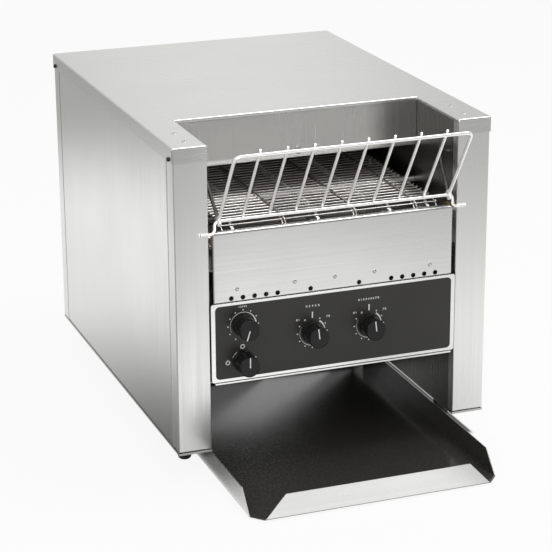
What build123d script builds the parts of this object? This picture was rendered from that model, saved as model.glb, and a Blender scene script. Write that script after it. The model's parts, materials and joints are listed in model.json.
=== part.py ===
"""Wire-belt conveyor toaster for a shop counter.

Bread is laid on the sloping wire rack, slides on to the wire belt, passes between the upper
and lower heating elements, falls off the back of the belt and slides down a chute into the
tray at the front.

Frame: +Z up, +Y to the back, +X to the right as seen by the person who stands in front.
The origin is at the middle of the whole toaster's footprint, on the counter. Millimetres.
"""
import math
import os
from build123d import *

os.makedirs("parts", exist_ok=True)

# ---------------------------------------------------------------- driving dimensions
# casing
body_w = 470.0          # width over the top cover
body_d = 620.0          # depth over the top cover
body_h = 444.0          # underside of the base to the top of the cover
foot_h = 38.0           # height of the rubber feet
sheet = 1.2             # casing sheet
gap = 0.3               # between neighbouring sheets
inset = 1.5             # casing faces stand back this far from the cover's edge
cover_flange = 22.0     # downturned edge of the top cover
recess_flange = 5.0     # downturned edge round the loading recess
column_w = 50.0         # front column, and the cover's arm above it
recess_d = 143.0        # loading recess, front to back
post_d = 27.0           # side return of the front columns and of the back panel
column_return = 15.0    # inner return of the front columns
seam = 2.0              # groove between a corner return and the side panel
base_rim = 3.2          # upturned rim of the base pan
hem = 10.0              # stiffening folds
bend = 2.0              # outside radius of a visible fold

# loading rack
rack_wire = 5.0         # outer frame of the rack
slat_wire = 4.2
hook_wire = 4.5         # bar at the foot of the rack, hooked in front of the columns
rack_side_gap = 14.0    # inner wall to the frame's side wires
rack_top_y = -72.0      # top rail, from the body's front plane
rack_top_rise = 0.5     # top rail over the cover
hook_bar_rise = 11.0    # foot bar over the belt
hook_drop = 18.0        # height of the hooks at the ends of the bar
hook_side_gap = 8.0     # inner wall to the hooks' upright legs
hook_reach = 12.0       # how far a hook overlaps its column
hook_bend = 7.0
pivot_y = 43.8          # rack pivots in the side walls, from the front plane
pivot_drop = 55.8       # pivots below the cover's top
pivot_pin = 8.0         # pin length beyond the wall's inner face
slat_count = 8
slat_pitch = 38.5
slat_tip = 6.5          # slat end beyond the top rail
weld_gap = 0.1          # between the rack's wires where they are welded
eye_gap = 0.3           # eye of the frame round the hook bar

# belt
belt_side_gap = 23.5    # belt's edge to the inner wall
belt_pitch = 12.7
belt_wire = 2.0
link_w = 2.0
edge_link = 1.5         # outer links to the belt's edge
middle_links = (-70.0, 46.0)
belt_teeth = 12
belt_drop = 118.0       # centre of the upper wires below the cover's top
idler_y = 32.5          # front shaft, from the front plane
drop_space = 82.0       # rear shaft to the chute, at least
shaft_dia = 12.0
shaft_overhang = 10.0   # beyond a wall
run_gap = 0.3           # belt wire to the bars it slides on
fit_gap = 0.05          # radial clearance of shafts and stems
edge_wheel = 15.5       # outer wheels to the belt's edge
middle_wheels = (-20.0, 88.0)
wheel_w = 4.0
wheel_hub_w = 12.0
wheel_hub_dia = 24.0
tooth_h = 2.4           # tooth above the root circle
tooth_base = 6.4
tooth_tip = 2.6
slide_bar_w = 4.0
slide_bar_h = 6.0
slide_bar_x = (-110.0, -10.0, 74.0)
slide_rod_dia = 8.0
slide_start = 75.0      # from the front plane
slide_stop = 40.0       # before the rear shaft
slide_rod_in = 75.0     # cross rods from the bars' ends

# bearings
bush_dia = 20.0
bush_flange_dia = 28.0
bush_flange = 2.0
bush_len = 8.0

# chain drive
chain_pitch = 6.35
chain_teeth = 16
chain_roller = 3.3
chain_gap = 3.0         # between the plates
chain_plate = 1.0
chain_plate_h = 4.6
chain_out = 17.0        # chain's middle from the inner wall
motor_rise = 40.0       # motor shaft over the base, at least
motor_case = 60.0
chain_wheel_w = 2.4
chain_tooth_h = 2.6
chain_tooth_base = 2.7
chain_tooth_tip = 1.0
chain_hub_dia = 20.0
chain_hub_w = 6.0
motor_shaft_dia = 8.0

# heating
element_dia = 8.0
element_count = 4
upper_start = 42.0      # first upper element behind the recess
lower_start = 115.0     # first lower element from the front plane
element_stop = 99.0     # last elements before the rear shaft
upper_element_drop = 58.0   # below the cover's top
lower_element_drop = 24.5   # below the upper wires of the belt
element_overhang = 16.0
insulator_dia = 14.0
insulator_len = 10.0
reflector_gap = 16.0    # element centre to its reflector
reflector_start = 17.0  # upper reflector behind the recess

# front
hopper_drop = 72.0      # lower edge of the recess's back wall below the cover's top
panel_side_gap = 6.0    # front panel to the inner walls
panel_drop = 7.0        # front panel's top below the belt
panel_z = 136.5         # lower edge of the front panel and of the control panel
control_side_gap = 1.0
control_h = 119.5
control_t = 1.5         # control panel stands this far in front of the front panel
overlay_margin = 6.0
overlay_low = 8.1       # overlay over the panel's lower edge
overlay_h = 107.0
overlay_t = 0.8
overlay_r = 6.0
rivet_rise = 18.0       # over the control panel
rivet_edge = 34.0       # outer rivets from the front panel's sides
rivet_x = 60.0
rivet_dia = 4.0
vent_rise = 5.0         # over the control panel
vent_dia = 6.2
vent_edge = 25.5        # outer vents from the front panel's sides
vent_pitch = 17.0
vent_row = 5
vent_x = 36.5
housing_d = 150.0       # electrical housing behind the front panel
shield_drop = 15.0      # heat shield below the lower wires of the belt
shield_overlap = 25.0   # heat shield past the rear shaft

# knobs
knob_dia = 30.0
knob_base_dia = 31.0
knob_len = 28.0
knob_seat = 0.5         # knob to overlay
stem_dia = 6.0
stem_len = 30.0
bushing_dia = 9.5
control_left = 46.5     # left knobs from the control panel's side
top_heat_x = -34.8
bottom_heat_x = 51.0
speed_rise = 84.5       # knob centres over the panel's lower edge
power_rise = 31.5
heat_rise = 60.0
control_d = 40.0        # depth of the control bodies
speed_pointer = -109.0  # pointer angles, anticlockwise from the right as seen from the front
power_pointer = 90.0
top_heat_pointer = 97.0
bottom_heat_pointer = 97.0

# chute and tray
chute_back = 22.0       # chute's upright wall from the body's back
chute_top_drop = 18.0   # chute's top below the belt
chute_knee_z = 205.0
chute_bend = 60.0
tray_z = 2.0            # underside of the tray
tray_side_gap = 1.5
tray_h = 31.5
tray_reach = 165.4      # lip, from the body's front plane
tray_corner_y = 147.0   # where the sides end at the floor
tray_side_top_y = 117.0
tray_back_y = 330.0
tray_corner_w = 16.5    # cut corners of the floor
lip_slope_w = 31.0      # slanted ends of the lip
lip_h = 33.3
lip_lean = 4.0          # degrees
glide_dia = 14.0
glide_inset = 20.0

# feet
foot_dia = 20.0
foot_top_dia = 24.0
foot_round = 5.0        # lower edge
foot_front_in = 33.0    # front feet from the cover's sides
foot_rear_in = 63.0     # rear feet from the cover's sides
foot_end = 76.0         # from the cover's front and back

# back
gland_reach = 20.0
gland_in = 35.0         # from the inner wall
gland_rise = 37.0       # over the base
terminal_w = 60.0
terminal_back = 48.0
gland_dia = 20.0
gland_nut_dia = 26.0
fan_in = 85.0
fan_rise = 54.0
fan_size = 80.0
fan_t = 25.0
fan_bore = 76.0
fan_hub = 30.0
rotor_dia = 72.0
rotor_hub = 28.0
blade_count = 7
louvre_w = 90.0
louvre_h = 5.0
louvre_pitch = 14.0
louvre_rows = 6
louvre_x = 70.0
louvre_drop = 82.0

# screws
screw_head = 8.0
screw_head_h = 2.2
screw_shank = 3.9
screw_len = 8.0
top_screw_in = 22.0     # from the inner wall
top_screw_y = (31.0, 75.0)
side_screw_y = 14.0     # from either end of the body
side_screw_drop = 17.5  # below the top of the cover
back_screw_in = 6.0
back_screw_rises = (32.0, 212.0, 392.0)
hopper_screws = (7.5, 15.0)

# ---------------------------------------------------------------- derived places
front = (tray_reach - body_d - gland_reach) / 2
back = front + body_d
base_z = foot_h
top_z = foot_h + body_h
half_w = body_w / 2
inner_x = half_w - column_w
side_x = half_w - inset
face_y = front + inset
rear_y = back - inset
casing_z = base_z + base_rim + gap
casing_top = top_z - sheet - gap
wall_top = top_z - recess_flange - gap
fit_x = inner_x - gap

chute_y = body_d - chute_back

belt_w = 2 * (inner_x - belt_side_gap)
belt_z = top_z - belt_drop
belt_r = belt_pitch / 2 / math.sin(math.pi / belt_teeth)
shaft_z = belt_z - belt_r
belt_low_z = shaft_z - belt_r
belt_pitches = int((chute_y - drop_space - idler_y) / belt_pitch)
front_shaft_y = front + idler_y
rear_shaft_y = front_shaft_y + belt_pitches * belt_pitch
link_end = belt_w / 2 - edge_link
belt_links = (-link_end, *middle_links, link_end)
wheel_end = belt_w / 2 - edge_wheel
wheel_x = (-wheel_end, *middle_wheels, wheel_end)
slide_ends = (front + slide_start, rear_shaft_y - slide_stop)

chain_x = inner_x + chain_out
chain_r = chain_pitch / 2 / math.sin(math.pi / chain_teeth)
chain_pitches = int((shaft_z - base_z - motor_rise) / chain_pitch)
motor_z = shaft_z - chain_pitches * chain_pitch

upper_element_z = top_z - upper_element_drop
lower_element_z = belt_z - lower_element_drop
shield_z = belt_low_z - shield_drop

panel_half_w = inner_x - panel_side_gap
panel_top_z = belt_z - panel_drop
control_half_w = inner_x - control_side_gap
control_top_z = panel_z + control_h
control_y = face_y - control_t
overlay_y = control_y - overlay_t
left_knob_x = control_left - control_half_w
speed_at = (left_knob_x, panel_z + speed_rise)
power_at = (left_knob_x, panel_z + power_rise)
top_heat_at = (top_heat_x, panel_z + heat_rise)
bottom_heat_at = (bottom_heat_x, panel_z + heat_rise)

rack_half_w = inner_x - rack_side_gap
rack_top_z = top_z + rack_top_rise
hook_bar_z = belt_z + hook_bar_rise
pivot_z = top_z - pivot_drop
bar_y = face_y - gap - hook_wire / 2

hopper_z = top_z - hopper_drop
chute_top_z = belt_z - chute_top_drop
front_foot_x = half_w - foot_front_in
rear_foot_x = half_w - foot_rear_in
gland_at = (inner_x - gland_in, base_z + gland_rise)
fan_at = (fan_in - inner_x, base_z + fan_rise)
top_screw_x = inner_x + top_screw_in

tray_half_w = inner_x - tray_side_gap
lip_half_w = tray_half_w - tray_corner_w
lip_top_half_w = lip_half_w - lip_slope_w
chute_foot_y = tray_back_y + gap
chute_foot_z = tray_z + sheet + gap

pieces = {}


# ---------------------------------------------------------------- helpers
def block(x, y, z, mode=Mode.ADD):
    """A box between two limits along each axis."""
    with Locations((sum(x) / 2, sum(y) / 2, sum(z) / 2)):
        Box(abs(x[1] - x[0]), abs(y[1] - y[0]), abs(z[1] - z[0]), mode=mode)


def rod(start, end, diameter, mode=Mode.ADD):
    """A straight round rod from one point to another."""
    run = Vector(*end) - Vector(*start)
    with BuildSketch(Plane(origin=start, z_dir=run)) as section:
        Circle(diameter / 2)
    extrude(section.sketch, amount=run.length, mode=mode)


def bent_wire(points, radius, diameter):
    """A round wire through the points, bent to one radius at its corners."""
    with BuildLine() as path:
        FilletPolyline(*points, radius=radius)
    with BuildSketch(Plane(origin=path.line @ 0, z_dir=path.line % 0)) as section:
        Circle(diameter / 2)
    sweep(section.sketch, path=path.line)


def folded_sheet(points, radius, x):
    """Sheet folded along X, its outer face through points given as (y, z)."""
    with BuildSketch(Plane.YZ.offset(x[0])) as profile:
        with BuildLine():
            FilletPolyline(*points, radius=radius)
            offset(amount=sheet, side=Side.LEFT)
        make_face()
    extrude(profile.sketch, amount=x[1] - x[0])


def toothed_wheel(centre, root_r, height, base, tip, teeth, thickness):
    """A toothed wheel on an X axis, with a tooth a half pitch past the top."""
    plane = Plane(origin=centre, x_dir=(0, 1, 0), z_dir=(1, 0, 0))
    with BuildSketch(plane.offset(-thickness / 2)) as profile:
        Circle(root_r)
        with PolarLocations(0, teeth, start_angle=90 + 180 / teeth):
            Polygon((root_r - 1, -base / 2), (root_r, -base / 2), (root_r + height, -tip / 2),
                    (root_r + height, tip / 2), (root_r, base / 2), (root_r - 1, base / 2),
                    align=None)
    extrude(profile.sketch, amount=thickness)


def ring(centre, axis, outer, inner, length):
    """A plain ring that starts at centre and runs along axis."""
    with BuildSketch(Plane(origin=centre, z_dir=axis)) as section:
        Circle(outer / 2)
        Circle(inner / 2, mode=Mode.SUBTRACT)
    extrude(section.sketch, amount=length)


def finish(piece, name):
    """Label a finished piece, keep it and write its file."""
    piece.part.label = name
    export_step(piece.part, f"parts/{name}.step")
    pieces[name] = piece


def mirrored(name, source):
    """The left-hand twin of a right-hand piece."""
    with BuildPart() as twin:
        mirror(pieces[source].part, about=Plane.YZ)
    finish(twin, name)


# ---------------------------------------------------------------- casing
def foot_places():
    """The front feet stand outside the tray, the rear ones further in."""
    return [(side * x, front + y) for side in (-1, 1)
            for x, y in ((front_foot_x, foot_end), (rear_foot_x, body_d - foot_end))]


def make_base_pan():
    """Floor of the casing, open in the middle where the tray stands below it."""
    with BuildPart() as base_pan:
        block((-side_x, side_x), (face_y, rear_y), (base_z, base_z + base_rim))
        block((-side_x + sheet, side_x - sheet), (face_y + sheet, rear_y - sheet),
              (base_z + sheet, base_z + base_rim), mode=Mode.SUBTRACT)
        block((-inner_x, inner_x), (face_y, front + 400), (base_z, base_z + base_rim),
              mode=Mode.SUBTRACT)
        with Locations(*[(*place, base_z) for place in foot_places()]):
            Cylinder(screw_shank / 2 + gap, 3 * sheet, mode=Mode.SUBTRACT)
    finish(base_pan, "base_pan")


def make_rubber_feet():
    """Four tapered feet with a rounded lower edge, each on its own stud."""
    with BuildPart() as rubber_feet:
        for centre in foot_places():
            with BuildSketch(Plane.XY) as sole:
                with Locations(centre):
                    Circle(foot_dia / 2)
            with BuildSketch(Plane.XY.offset(foot_h)) as seat:
                with Locations(centre):
                    Circle(foot_top_dia / 2)
            loft([sole.sketch.face(), seat.sketch.face()])
            rod((*centre, foot_h), (*centre, foot_h + 8), screw_shank)
        fillet(rubber_feet.edges().group_by(Axis.Z)[0], foot_round)
    finish(rubber_feet, "rubber_feet")


def make_top_cover():
    """Cover with a downturned edge all round and the loading recess cut into its front."""
    with BuildPart() as top_cover:
        block((-half_w, half_w), (front, back), (top_z - cover_flange, top_z))
        corners = top_cover.edges().filter_by(Axis.Z)
        fillet(corners, bend)
        block((-half_w + sheet, half_w - sheet), (front + sheet, back - sheet),
              (top_z - cover_flange, top_z - sheet), mode=Mode.SUBTRACT)
        block((-inner_x, inner_x), (front, front + recess_d), (top_z - cover_flange, top_z),
              mode=Mode.SUBTRACT)
        for side in (-1, 1):
            block((side * inner_x, side * (inner_x + sheet)), (front, front + recess_d),
                  (top_z - recess_flange, top_z))
            for y in top_screw_y:
                with Locations((side * top_screw_x, front + y, top_z)):
                    Cylinder(screw_shank / 2 + gap / 2, 3 * sheet, mode=Mode.SUBTRACT)
        block((-inner_x - sheet, inner_x + sheet),
              (front + recess_d, front + recess_d + sheet), (top_z - recess_flange, top_z))
    finish(top_cover, "top_cover")


def make_front_column():
    """Right front column: face, side return, inner return and a closed foot."""
    z = (casing_z, casing_top)
    with BuildPart() as column:
        block((inner_x, side_x), (face_y, face_y + sheet), z)
        block((side_x - sheet, side_x), (face_y, face_y + post_d), z)
        block((inner_x, inner_x + sheet), (face_y, face_y + column_return), z)
        block((inner_x, side_x), (face_y, face_y + column_return), (casing_z, casing_z + sheet))
        block((inner_x, inner_x + sheet + gap), (face_y, face_y + column_return),
              (wall_top, casing_top), mode=Mode.SUBTRACT)
        uprights = column.edges().filter_by(Axis.Z).group_by(Axis.Y)[0]
        fillet(uprights.group_by(Axis.X)[-1], bend)
        foot_edge = column.edges().filter_by(Axis.Y).group_by(Axis.Z)[0].group_by(Axis.X)[-1]
        fillet(foot_edge, bend)
    finish(column, "right_front_column")
    mirrored("left_front_column", "right_front_column")


def make_side_panel():
    """Right side panel: a shallow pan between the two corner returns."""
    y = (face_y + post_d + seam, rear_y - post_d - seam)
    with BuildPart() as panel:
        block((side_x - hem, side_x), y, (casing_z, casing_top))
        fillet(panel.edges().filter_by(Axis.Z).group_by(Axis.X)[-1], bend)
        block((side_x - hem, side_x - sheet), (y[0] + sheet, y[1] - sheet),
              (casing_z + sheet, casing_top - sheet), mode=Mode.SUBTRACT)
    finish(panel, "right_side_panel")
    mirrored("left_side_panel", "right_side_panel")


def make_back_panel():
    """Back panel with its corner returns, warm-air louvres, fan slots and cord hole."""
    z = (casing_z, casing_top)
    with BuildPart() as back_panel:
        block((-side_x, side_x), (rear_y - post_d, rear_y), z)
        fillet(back_panel.edges().filter_by(Axis.Z).group_by(Axis.Y)[-1], bend)
        block((-side_x + sheet, side_x - sheet), (rear_y - post_d, rear_y - sheet), z,
              mode=Mode.SUBTRACT)
        with BuildSketch(Plane.XZ.offset(-rear_y)) as openings:
            for x in (-louvre_x, louvre_x):
                with Locations((x, top_z - louvre_drop)):
                    with GridLocations(0, louvre_pitch, 1, louvre_rows):
                        SlotOverall(louvre_w, louvre_h)
            with Locations(fan_at):
                with GridLocations(0, louvre_pitch / 1.4, 1, louvre_rows):
                    SlotOverall(fan_bore * 0.7, louvre_h)
            with Locations(gland_at):
                Circle(gland_dia / 2 + gap / 2)
            with Locations(*back_screw_places()):
                Circle(screw_shank / 2 + gap / 2)
        extrude(openings.sketch, amount=3 * sheet, both=True, mode=Mode.SUBTRACT)
    finish(back_panel, "back_panel")


def back_screw_places():
    """(x, z) of the six screws of the back panel."""
    x = inner_x + sheet + back_screw_in
    return [(side * x, base_z + rise) for side in (-1, 1) for rise in back_screw_rises]


def make_hopper_wall():
    """Back wall of the loading recess, with a hem at its lower edge."""
    y = front + recess_d
    with BuildPart() as wall:
        block((-fit_x, fit_x), (y, y + hem), (hopper_z, top_z - recess_flange - gap))
        fillet(wall.edges().filter_by(Axis.X).group_by(Axis.Y)[0].sort_by(Axis.Z)[0], bend)
        block((-fit_x + sheet, fit_x - sheet), (y + sheet, y + hem),
              (hopper_z + sheet, top_z), mode=Mode.SUBTRACT)
        with Locations(*[(0, y, hopper_z + z) for z in hopper_screws]):
            Cylinder(1.6, 3 * sheet, rotation=(90, 0, 0), mode=Mode.SUBTRACT)
    finish(wall, "hopper_back_wall")


def make_inner_wall():
    """Right inner wall: carries the rack, both shafts, the elements and the motor."""
    y = (face_y + column_return + gap, rear_y - sheet - gap)
    z = (base_z + sheet, wall_top)
    holes = [(front + pivot_y, pivot_z, rack_wire + 4 * fit_gap)]
    holes += [(shaft_y, shaft_z, bush_dia + 4 * fit_gap)
              for shaft_y in (front_shaft_y, rear_shaft_y)]
    holes += [(at, upper_element_z, insulator_dia + gap) for at in upper_places()]
    holes += [(at, lower_element_z, insulator_dia + gap) for at in lower_places()]
    holes += [(rear_shaft_y, motor_z, motor_shaft_dia + 8)]
    with BuildPart() as wall:
        block((inner_x, inner_x + sheet), y, z)
        block((inner_x, inner_x + hem), y, (z[0], z[0] + sheet))
        block((inner_x, inner_x + 2 * hem), (y[1] - sheet, y[1]), z)
        for hole_y, hole_z, diameter in holes:
            rod((inner_x - sheet, hole_y, hole_z), (inner_x + 3 * sheet, hole_y, hole_z),
                diameter, mode=Mode.SUBTRACT)
        with Locations(*[(x, y[1], at) for x, at in back_screw_places() if x > 0]):
            Cylinder(screw_shank / 2 + gap / 2, 4 * sheet, rotation=(90, 0, 0),
                     mode=Mode.SUBTRACT)
    finish(wall, "right_inner_wall")
    mirrored("left_inner_wall", "right_inner_wall")


# ---------------------------------------------------------------- front
def knob_places():
    return [speed_at, power_at, top_heat_at, bottom_heat_at]


def vent_places():
    """(x, z) of the vents in the front panel: a row at each side and one nearer the middle."""
    rows = [panel_half_w - vent_edge - vent_pitch * step for step in range(vent_row)] + [vent_x]
    return [(side * x, control_top_z + vent_rise) for side in (-1, 1) for x in rows]


def rivet_places():
    """(x, z) of the rivets in the front panel."""
    outer = panel_half_w - rivet_edge
    return [(x, control_top_z + rivet_rise) for x in (-outer, -rivet_x, 0, rivet_x, outer)]


def make_front_panel():
    """Front panel between the columns, with vents, rivet holes and the controls' holes."""
    x = (-panel_half_w, panel_half_w)
    with BuildPart() as panel:
        block(x, (face_y, face_y + hem), (panel_z, panel_top_z))
        top_edge = panel.edges().filter_by(Axis.X).group_by(Axis.Y)[0].sort_by(Axis.Z)[-1]
        fillet(top_edge, bend)
        block((x[0] + sheet, x[1] - sheet), (face_y + sheet, face_y + hem),
              (panel_z + sheet, panel_top_z - sheet), mode=Mode.SUBTRACT)
        with BuildSketch(Plane.XZ.offset(-face_y)) as holes:
            with Locations(*vent_places()):
                Circle(vent_dia / 2)
            with Locations(*rivet_places()):
                Circle(rivet_dia / 2 + gap / 2)
            with Locations(*knob_places()):
                Circle(bushing_dia / 2 + gap / 2)
        extrude(holes.sketch, amount=2 * sheet, both=True, mode=Mode.SUBTRACT)
    finish(panel, "front_panel")


def make_panel_rivets():
    """Domed rivets in the front panel."""
    with BuildPart() as rivets:
        for x, z in rivet_places():
            rod((x, face_y + 3, z), (x, face_y - 0.4, z), rivet_dia)
            rod((x, face_y, z), (x, face_y - 1.0, z), rivet_dia + 3)
        fillet(rivets.edges().group_by(Axis.Y)[0], 0.8)
    finish(rivets, "panel_rivets")


def make_control_panel():
    """Frame of the control panel: a shallow tray with a raised border, fixed to the front panel."""
    x = (-control_half_w, control_half_w)
    z = (panel_z, panel_z + control_h)
    with BuildPart() as panel:
        block(x, (control_y, face_y), z)
        fillet(panel.edges().filter_by(Axis.Y), bend)
        with Locations(*[(at[0], face_y, at[1]) for at in knob_places()]):
            Cylinder(bushing_dia / 2 + gap / 2, 6 * control_t, rotation=(90, 0, 0),
                     mode=Mode.SUBTRACT)
        block(x, (face_y, face_y + hem), (z[0] - sheet, z[0]))
        block(x, (control_y, face_y), (z[0] - sheet, z[0]))
    finish(panel, "control_panel")


def make_control_overlay():
    """Dark plate with rounded corners that carries the scales."""
    with BuildPart() as overlay:
        with BuildSketch(Plane.XZ.offset(-control_y)) as outline:
            with Locations((0, panel_z + overlay_low + overlay_h / 2)):
                RectangleRounded(2 * (control_half_w - overlay_margin), overlay_h, overlay_r)
            with Locations(*knob_places()):
                Circle(bushing_dia / 2 + gap / 2, mode=Mode.SUBTRACT)
        extrude(outline.sketch, amount=overlay_t)
    finish(overlay, "control_overlay")


def make_knob(name, at, pointer):
    """Knob with a moulded stem; a groove in its face marks the setting."""
    knob_y = overlay_y - knob_seat
    plane = Plane(origin=(at[0], knob_y, at[1]), x_dir=(1, 0, 0), z_dir=(0, -1, 0))
    with BuildPart() as knob:
        with BuildSketch(plane) as base:
            Circle(knob_base_dia / 2)
        extrude(base.sketch, amount=3)
        with BuildSketch(plane) as body:
            Circle(knob_dia / 2)
        extrude(body.sketch, amount=knob_len)
        fillet(knob.edges().group_by(Axis.Y)[0], 1.2)
        with BuildSketch(plane) as stem:
            Circle(stem_dia / 2)
        extrude(stem.sketch, amount=-stem_len)
        with BuildSketch(plane.offset(knob_len)) as groove:
            with PolarLocations(knob_dia / 4, 1, start_angle=pointer):
                SlotOverall(knob_dia / 2, 1.6)
        extrude(groove.sketch, amount=-0.6, mode=Mode.SUBTRACT)
    finish(knob, name)


def make_control(name, at, size):
    """A square control body behind the front panel, with its threaded bushing through it."""
    y = (face_y + sheet, face_y + sheet + control_d)
    with BuildPart() as control:
        block((at[0] - size / 2, at[0] + size / 2), y, (at[1] - size / 2, at[1] + size / 2))
        fillet(control.edges().filter_by(Axis.Y), 3)
        rod((at[0], y[0], at[1]), (at[0], overlay_y + gap, at[1]), bushing_dia)
        rod((at[0], overlay_y - gap, at[1]), (at[0], face_y + stem_len, at[1]),
            stem_dia + 2 * fit_gap, mode=Mode.SUBTRACT)
    finish(control, name)


def make_control_housing():
    """Floor and back of the electrical housing behind the front panel."""
    with BuildPart() as housing:
        folded_sheet([(face_y + hem + gap, panel_z), (front + housing_d, panel_z),
                      (front + housing_d, shield_z - gap)], 3, (-fit_x, fit_x))
    finish(housing, "control_housing")


def make_control_board():
    """Circuit board with its relays, on four posts from the housing floor."""
    floor = panel_z + sheet
    y = (front + 70, front + 135)
    with BuildPart() as board:
        block((-60, 60), y, (floor + 8, floor + 9.6))
        for x in (-54, 54):
            for post_y in (y[0] + 6, y[1] - 6):
                rod((x, post_y, floor), (x, post_y, floor + 8), 5)
        for x in (-40, -15, 10):
            block((x, x + 18), (y[0] + 15, y[0] + 30), (floor + 9.6, floor + 25))
        block((35, 52), (y[0] + 12, y[1] - 12), (floor + 9.6, floor + 20))
    finish(board, "control_board")


def make_heat_shield():
    """Plate between the belt and the electrical housing, which also catches crumbs."""
    with BuildPart() as shield:
        end = rear_shaft_y + shield_overlap
        folded_sheet([(face_y + hem + gap, shield_z), (end, shield_z), (end, shield_z - hem)],
                     3, (-fit_x, fit_x))
    finish(shield, "heat_shield")


# ---------------------------------------------------------------- heating
def element_places(start):
    """Even places along Y from start to the last element before the rear shaft."""
    step = (rear_shaft_y - element_stop - start) / (element_count - 1)
    return [start + step * number for number in range(element_count)]


def upper_places():
    return element_places(front + recess_d + upper_start)


def lower_places():
    return element_places(front + lower_start)


def make_reflector(name, z, ends, fold):
    """Bright plate over or under a row of elements, with its edges folded."""
    with BuildPart() as reflector:
        block((-fit_x, fit_x), ends, (z, z + sheet))
        for at in (ends[0], ends[1] - sheet):
            block((-fit_x, fit_x), (at, at + sheet), (z, z + fold))
    finish(reflector, name)


def make_elements(name, z, places):
    """A row of straight sheathed elements across the toaster."""
    reach = inner_x + element_overhang
    with BuildPart() as elements:
        for at in places:
            rod((-reach, at, z), (reach, at, z), element_dia)
    finish(elements, name)


def make_insulators():
    """Ceramic sleeves that carry the elements in the inner walls."""
    rows = [(at, upper_element_z) for at in upper_places()]
    rows += [(at, lower_element_z) for at in lower_places()]
    with BuildPart() as insulators:
        for side in (-1, 1):
            for at, z in rows:
                start = (side * (inner_x - 3), at, z)
                ring(start, (side, 0, 0), insulator_dia, element_dia + 2 * fit_gap,
                     insulator_len)
    finish(insulators, "element_insulators")


# ---------------------------------------------------------------- belt and drive
def make_shaft(name, y, right_reach):
    """A plain shaft across the toaster."""
    reach = inner_x + sheet + shaft_overhang
    with BuildPart() as shaft:
        rod((-reach, y, shaft_z), (right_reach, y, shaft_z), shaft_dia)
        chamfer(shaft.edges().filter_by(GeomType.CIRCLE), 0.8)
    finish(shaft, name)


def make_belt_wheels(name, y):
    """Four toothed wheels that carry the belt on one shaft."""
    root_r = belt_r - belt_wire / 2 - 3 * fit_gap
    with BuildPart() as wheels:
        for x in wheel_x:
            toothed_wheel((x, y, shaft_z), root_r, tooth_h, tooth_base, tooth_tip,
                          belt_teeth, wheel_w)
            hub = wheel_hub_w / 2
            rod((x - hub, y, shaft_z), (x + hub, y, shaft_z), wheel_hub_dia)
        rod((-inner_x, y, shaft_z), (inner_x, y, shaft_z), shaft_dia + 2 * fit_gap,
            mode=Mode.SUBTRACT)
    finish(wheels, name)


def make_bearings():
    """Flanged bushes for both shafts in both inner walls."""
    with BuildPart() as bearings:
        for side in (-1, 1):
            for y in (front_shaft_y, rear_shaft_y):
                inside = side * (inner_x - bush_flange)
                ring((inside, y, shaft_z), (side, 0, 0), bush_flange_dia,
                     shaft_dia + 2 * fit_gap, bush_flange)
                ring((side * inner_x, y, shaft_z), (side, 0, 0), bush_dia,
                     shaft_dia + 2 * fit_gap, bush_len - bush_flange)
    finish(bearings, "shaft_bearings")


def make_belt_run(name, z):
    """Flat stretch of the belt: cross wires joined by rows of links."""
    y = [front_shaft_y + belt_pitch * step for step in range(1, belt_pitches)]
    reach = belt_pitch / 2 - gap / 2
    with BuildPart() as run:
        for at in y:
            rod((-belt_w / 2, at, z), (belt_w / 2, at, z), belt_wire)
        for x in belt_links:
            block((x - link_w / 2, x + link_w / 2), (y[0] - reach, y[-1] + reach),
                  (z - belt_wire / 4, z + belt_wire / 4))
    finish(run, name)


def make_belt_wrap(name, shaft_y, side):
    """Stretch of the belt round one shaft; side is -1 at the front and 1 at the back."""
    half = belt_teeth // 2
    angles = [math.pi * step / half for step in range(half + 1)]
    bends = [(shaft_y + side * belt_r * math.sin(angle), shaft_z + belt_r * math.cos(angle))
             for angle in angles]
    reach = belt_pitch / 2 - gap / 2
    chain = [(shaft_y - side * reach, bends[0][1])] + bends + [(shaft_y - side * reach, bends[-1][1])]
    with BuildPart() as wrap:
        for y, z in bends:
            rod((-belt_w / 2, y, z), (belt_w / 2, y, z), belt_wire)
        for x in belt_links:
            for start, end in zip(chain, chain[1:]):
                rod((x, *start), (x, *end), belt_wire / 2)
    finish(wrap, name)


def make_belt_support():
    """Bars that the belt slides on, on two cross rods between the inner walls."""
    top = belt_z - belt_wire / 2 - run_gap
    with BuildPart() as support:
        for x in slide_bar_x:
            block((x - slide_bar_w / 2, x + slide_bar_w / 2), slide_ends, (top - slide_bar_h, top))
        for y in (slide_ends[0] + slide_rod_in, slide_ends[1] - slide_rod_in):
            z = top - slide_bar_h
            rod((-fit_x, y, z), (fit_x, y, z), slide_rod_dia)
    finish(support, "belt_support")


def make_chain_wheel(name, y, z, stub):
    """Chain wheel on the drive shaft, or with its own stub shaft on the motor."""
    root_r = chain_r - chain_roller / 2 - 2 * fit_gap
    with BuildPart() as wheel:
        toothed_wheel((chain_x, y, z), root_r, chain_tooth_h, chain_tooth_base,
                      chain_tooth_tip, chain_teeth, chain_wheel_w)
        rod((chain_x, y, z), (chain_x - chain_hub_w, y, z), chain_hub_dia)
        if stub:
            rod((chain_x + 2, y, z), (inner_x - 25, y, z), motor_shaft_dia)
        else:
            rod((chain_x - inner_x, y, z), (chain_x + inner_x, y, z), shaft_dia + 2 * fit_gap,
                mode=Mode.SUBTRACT)
    finish(wheel, name)


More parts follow.
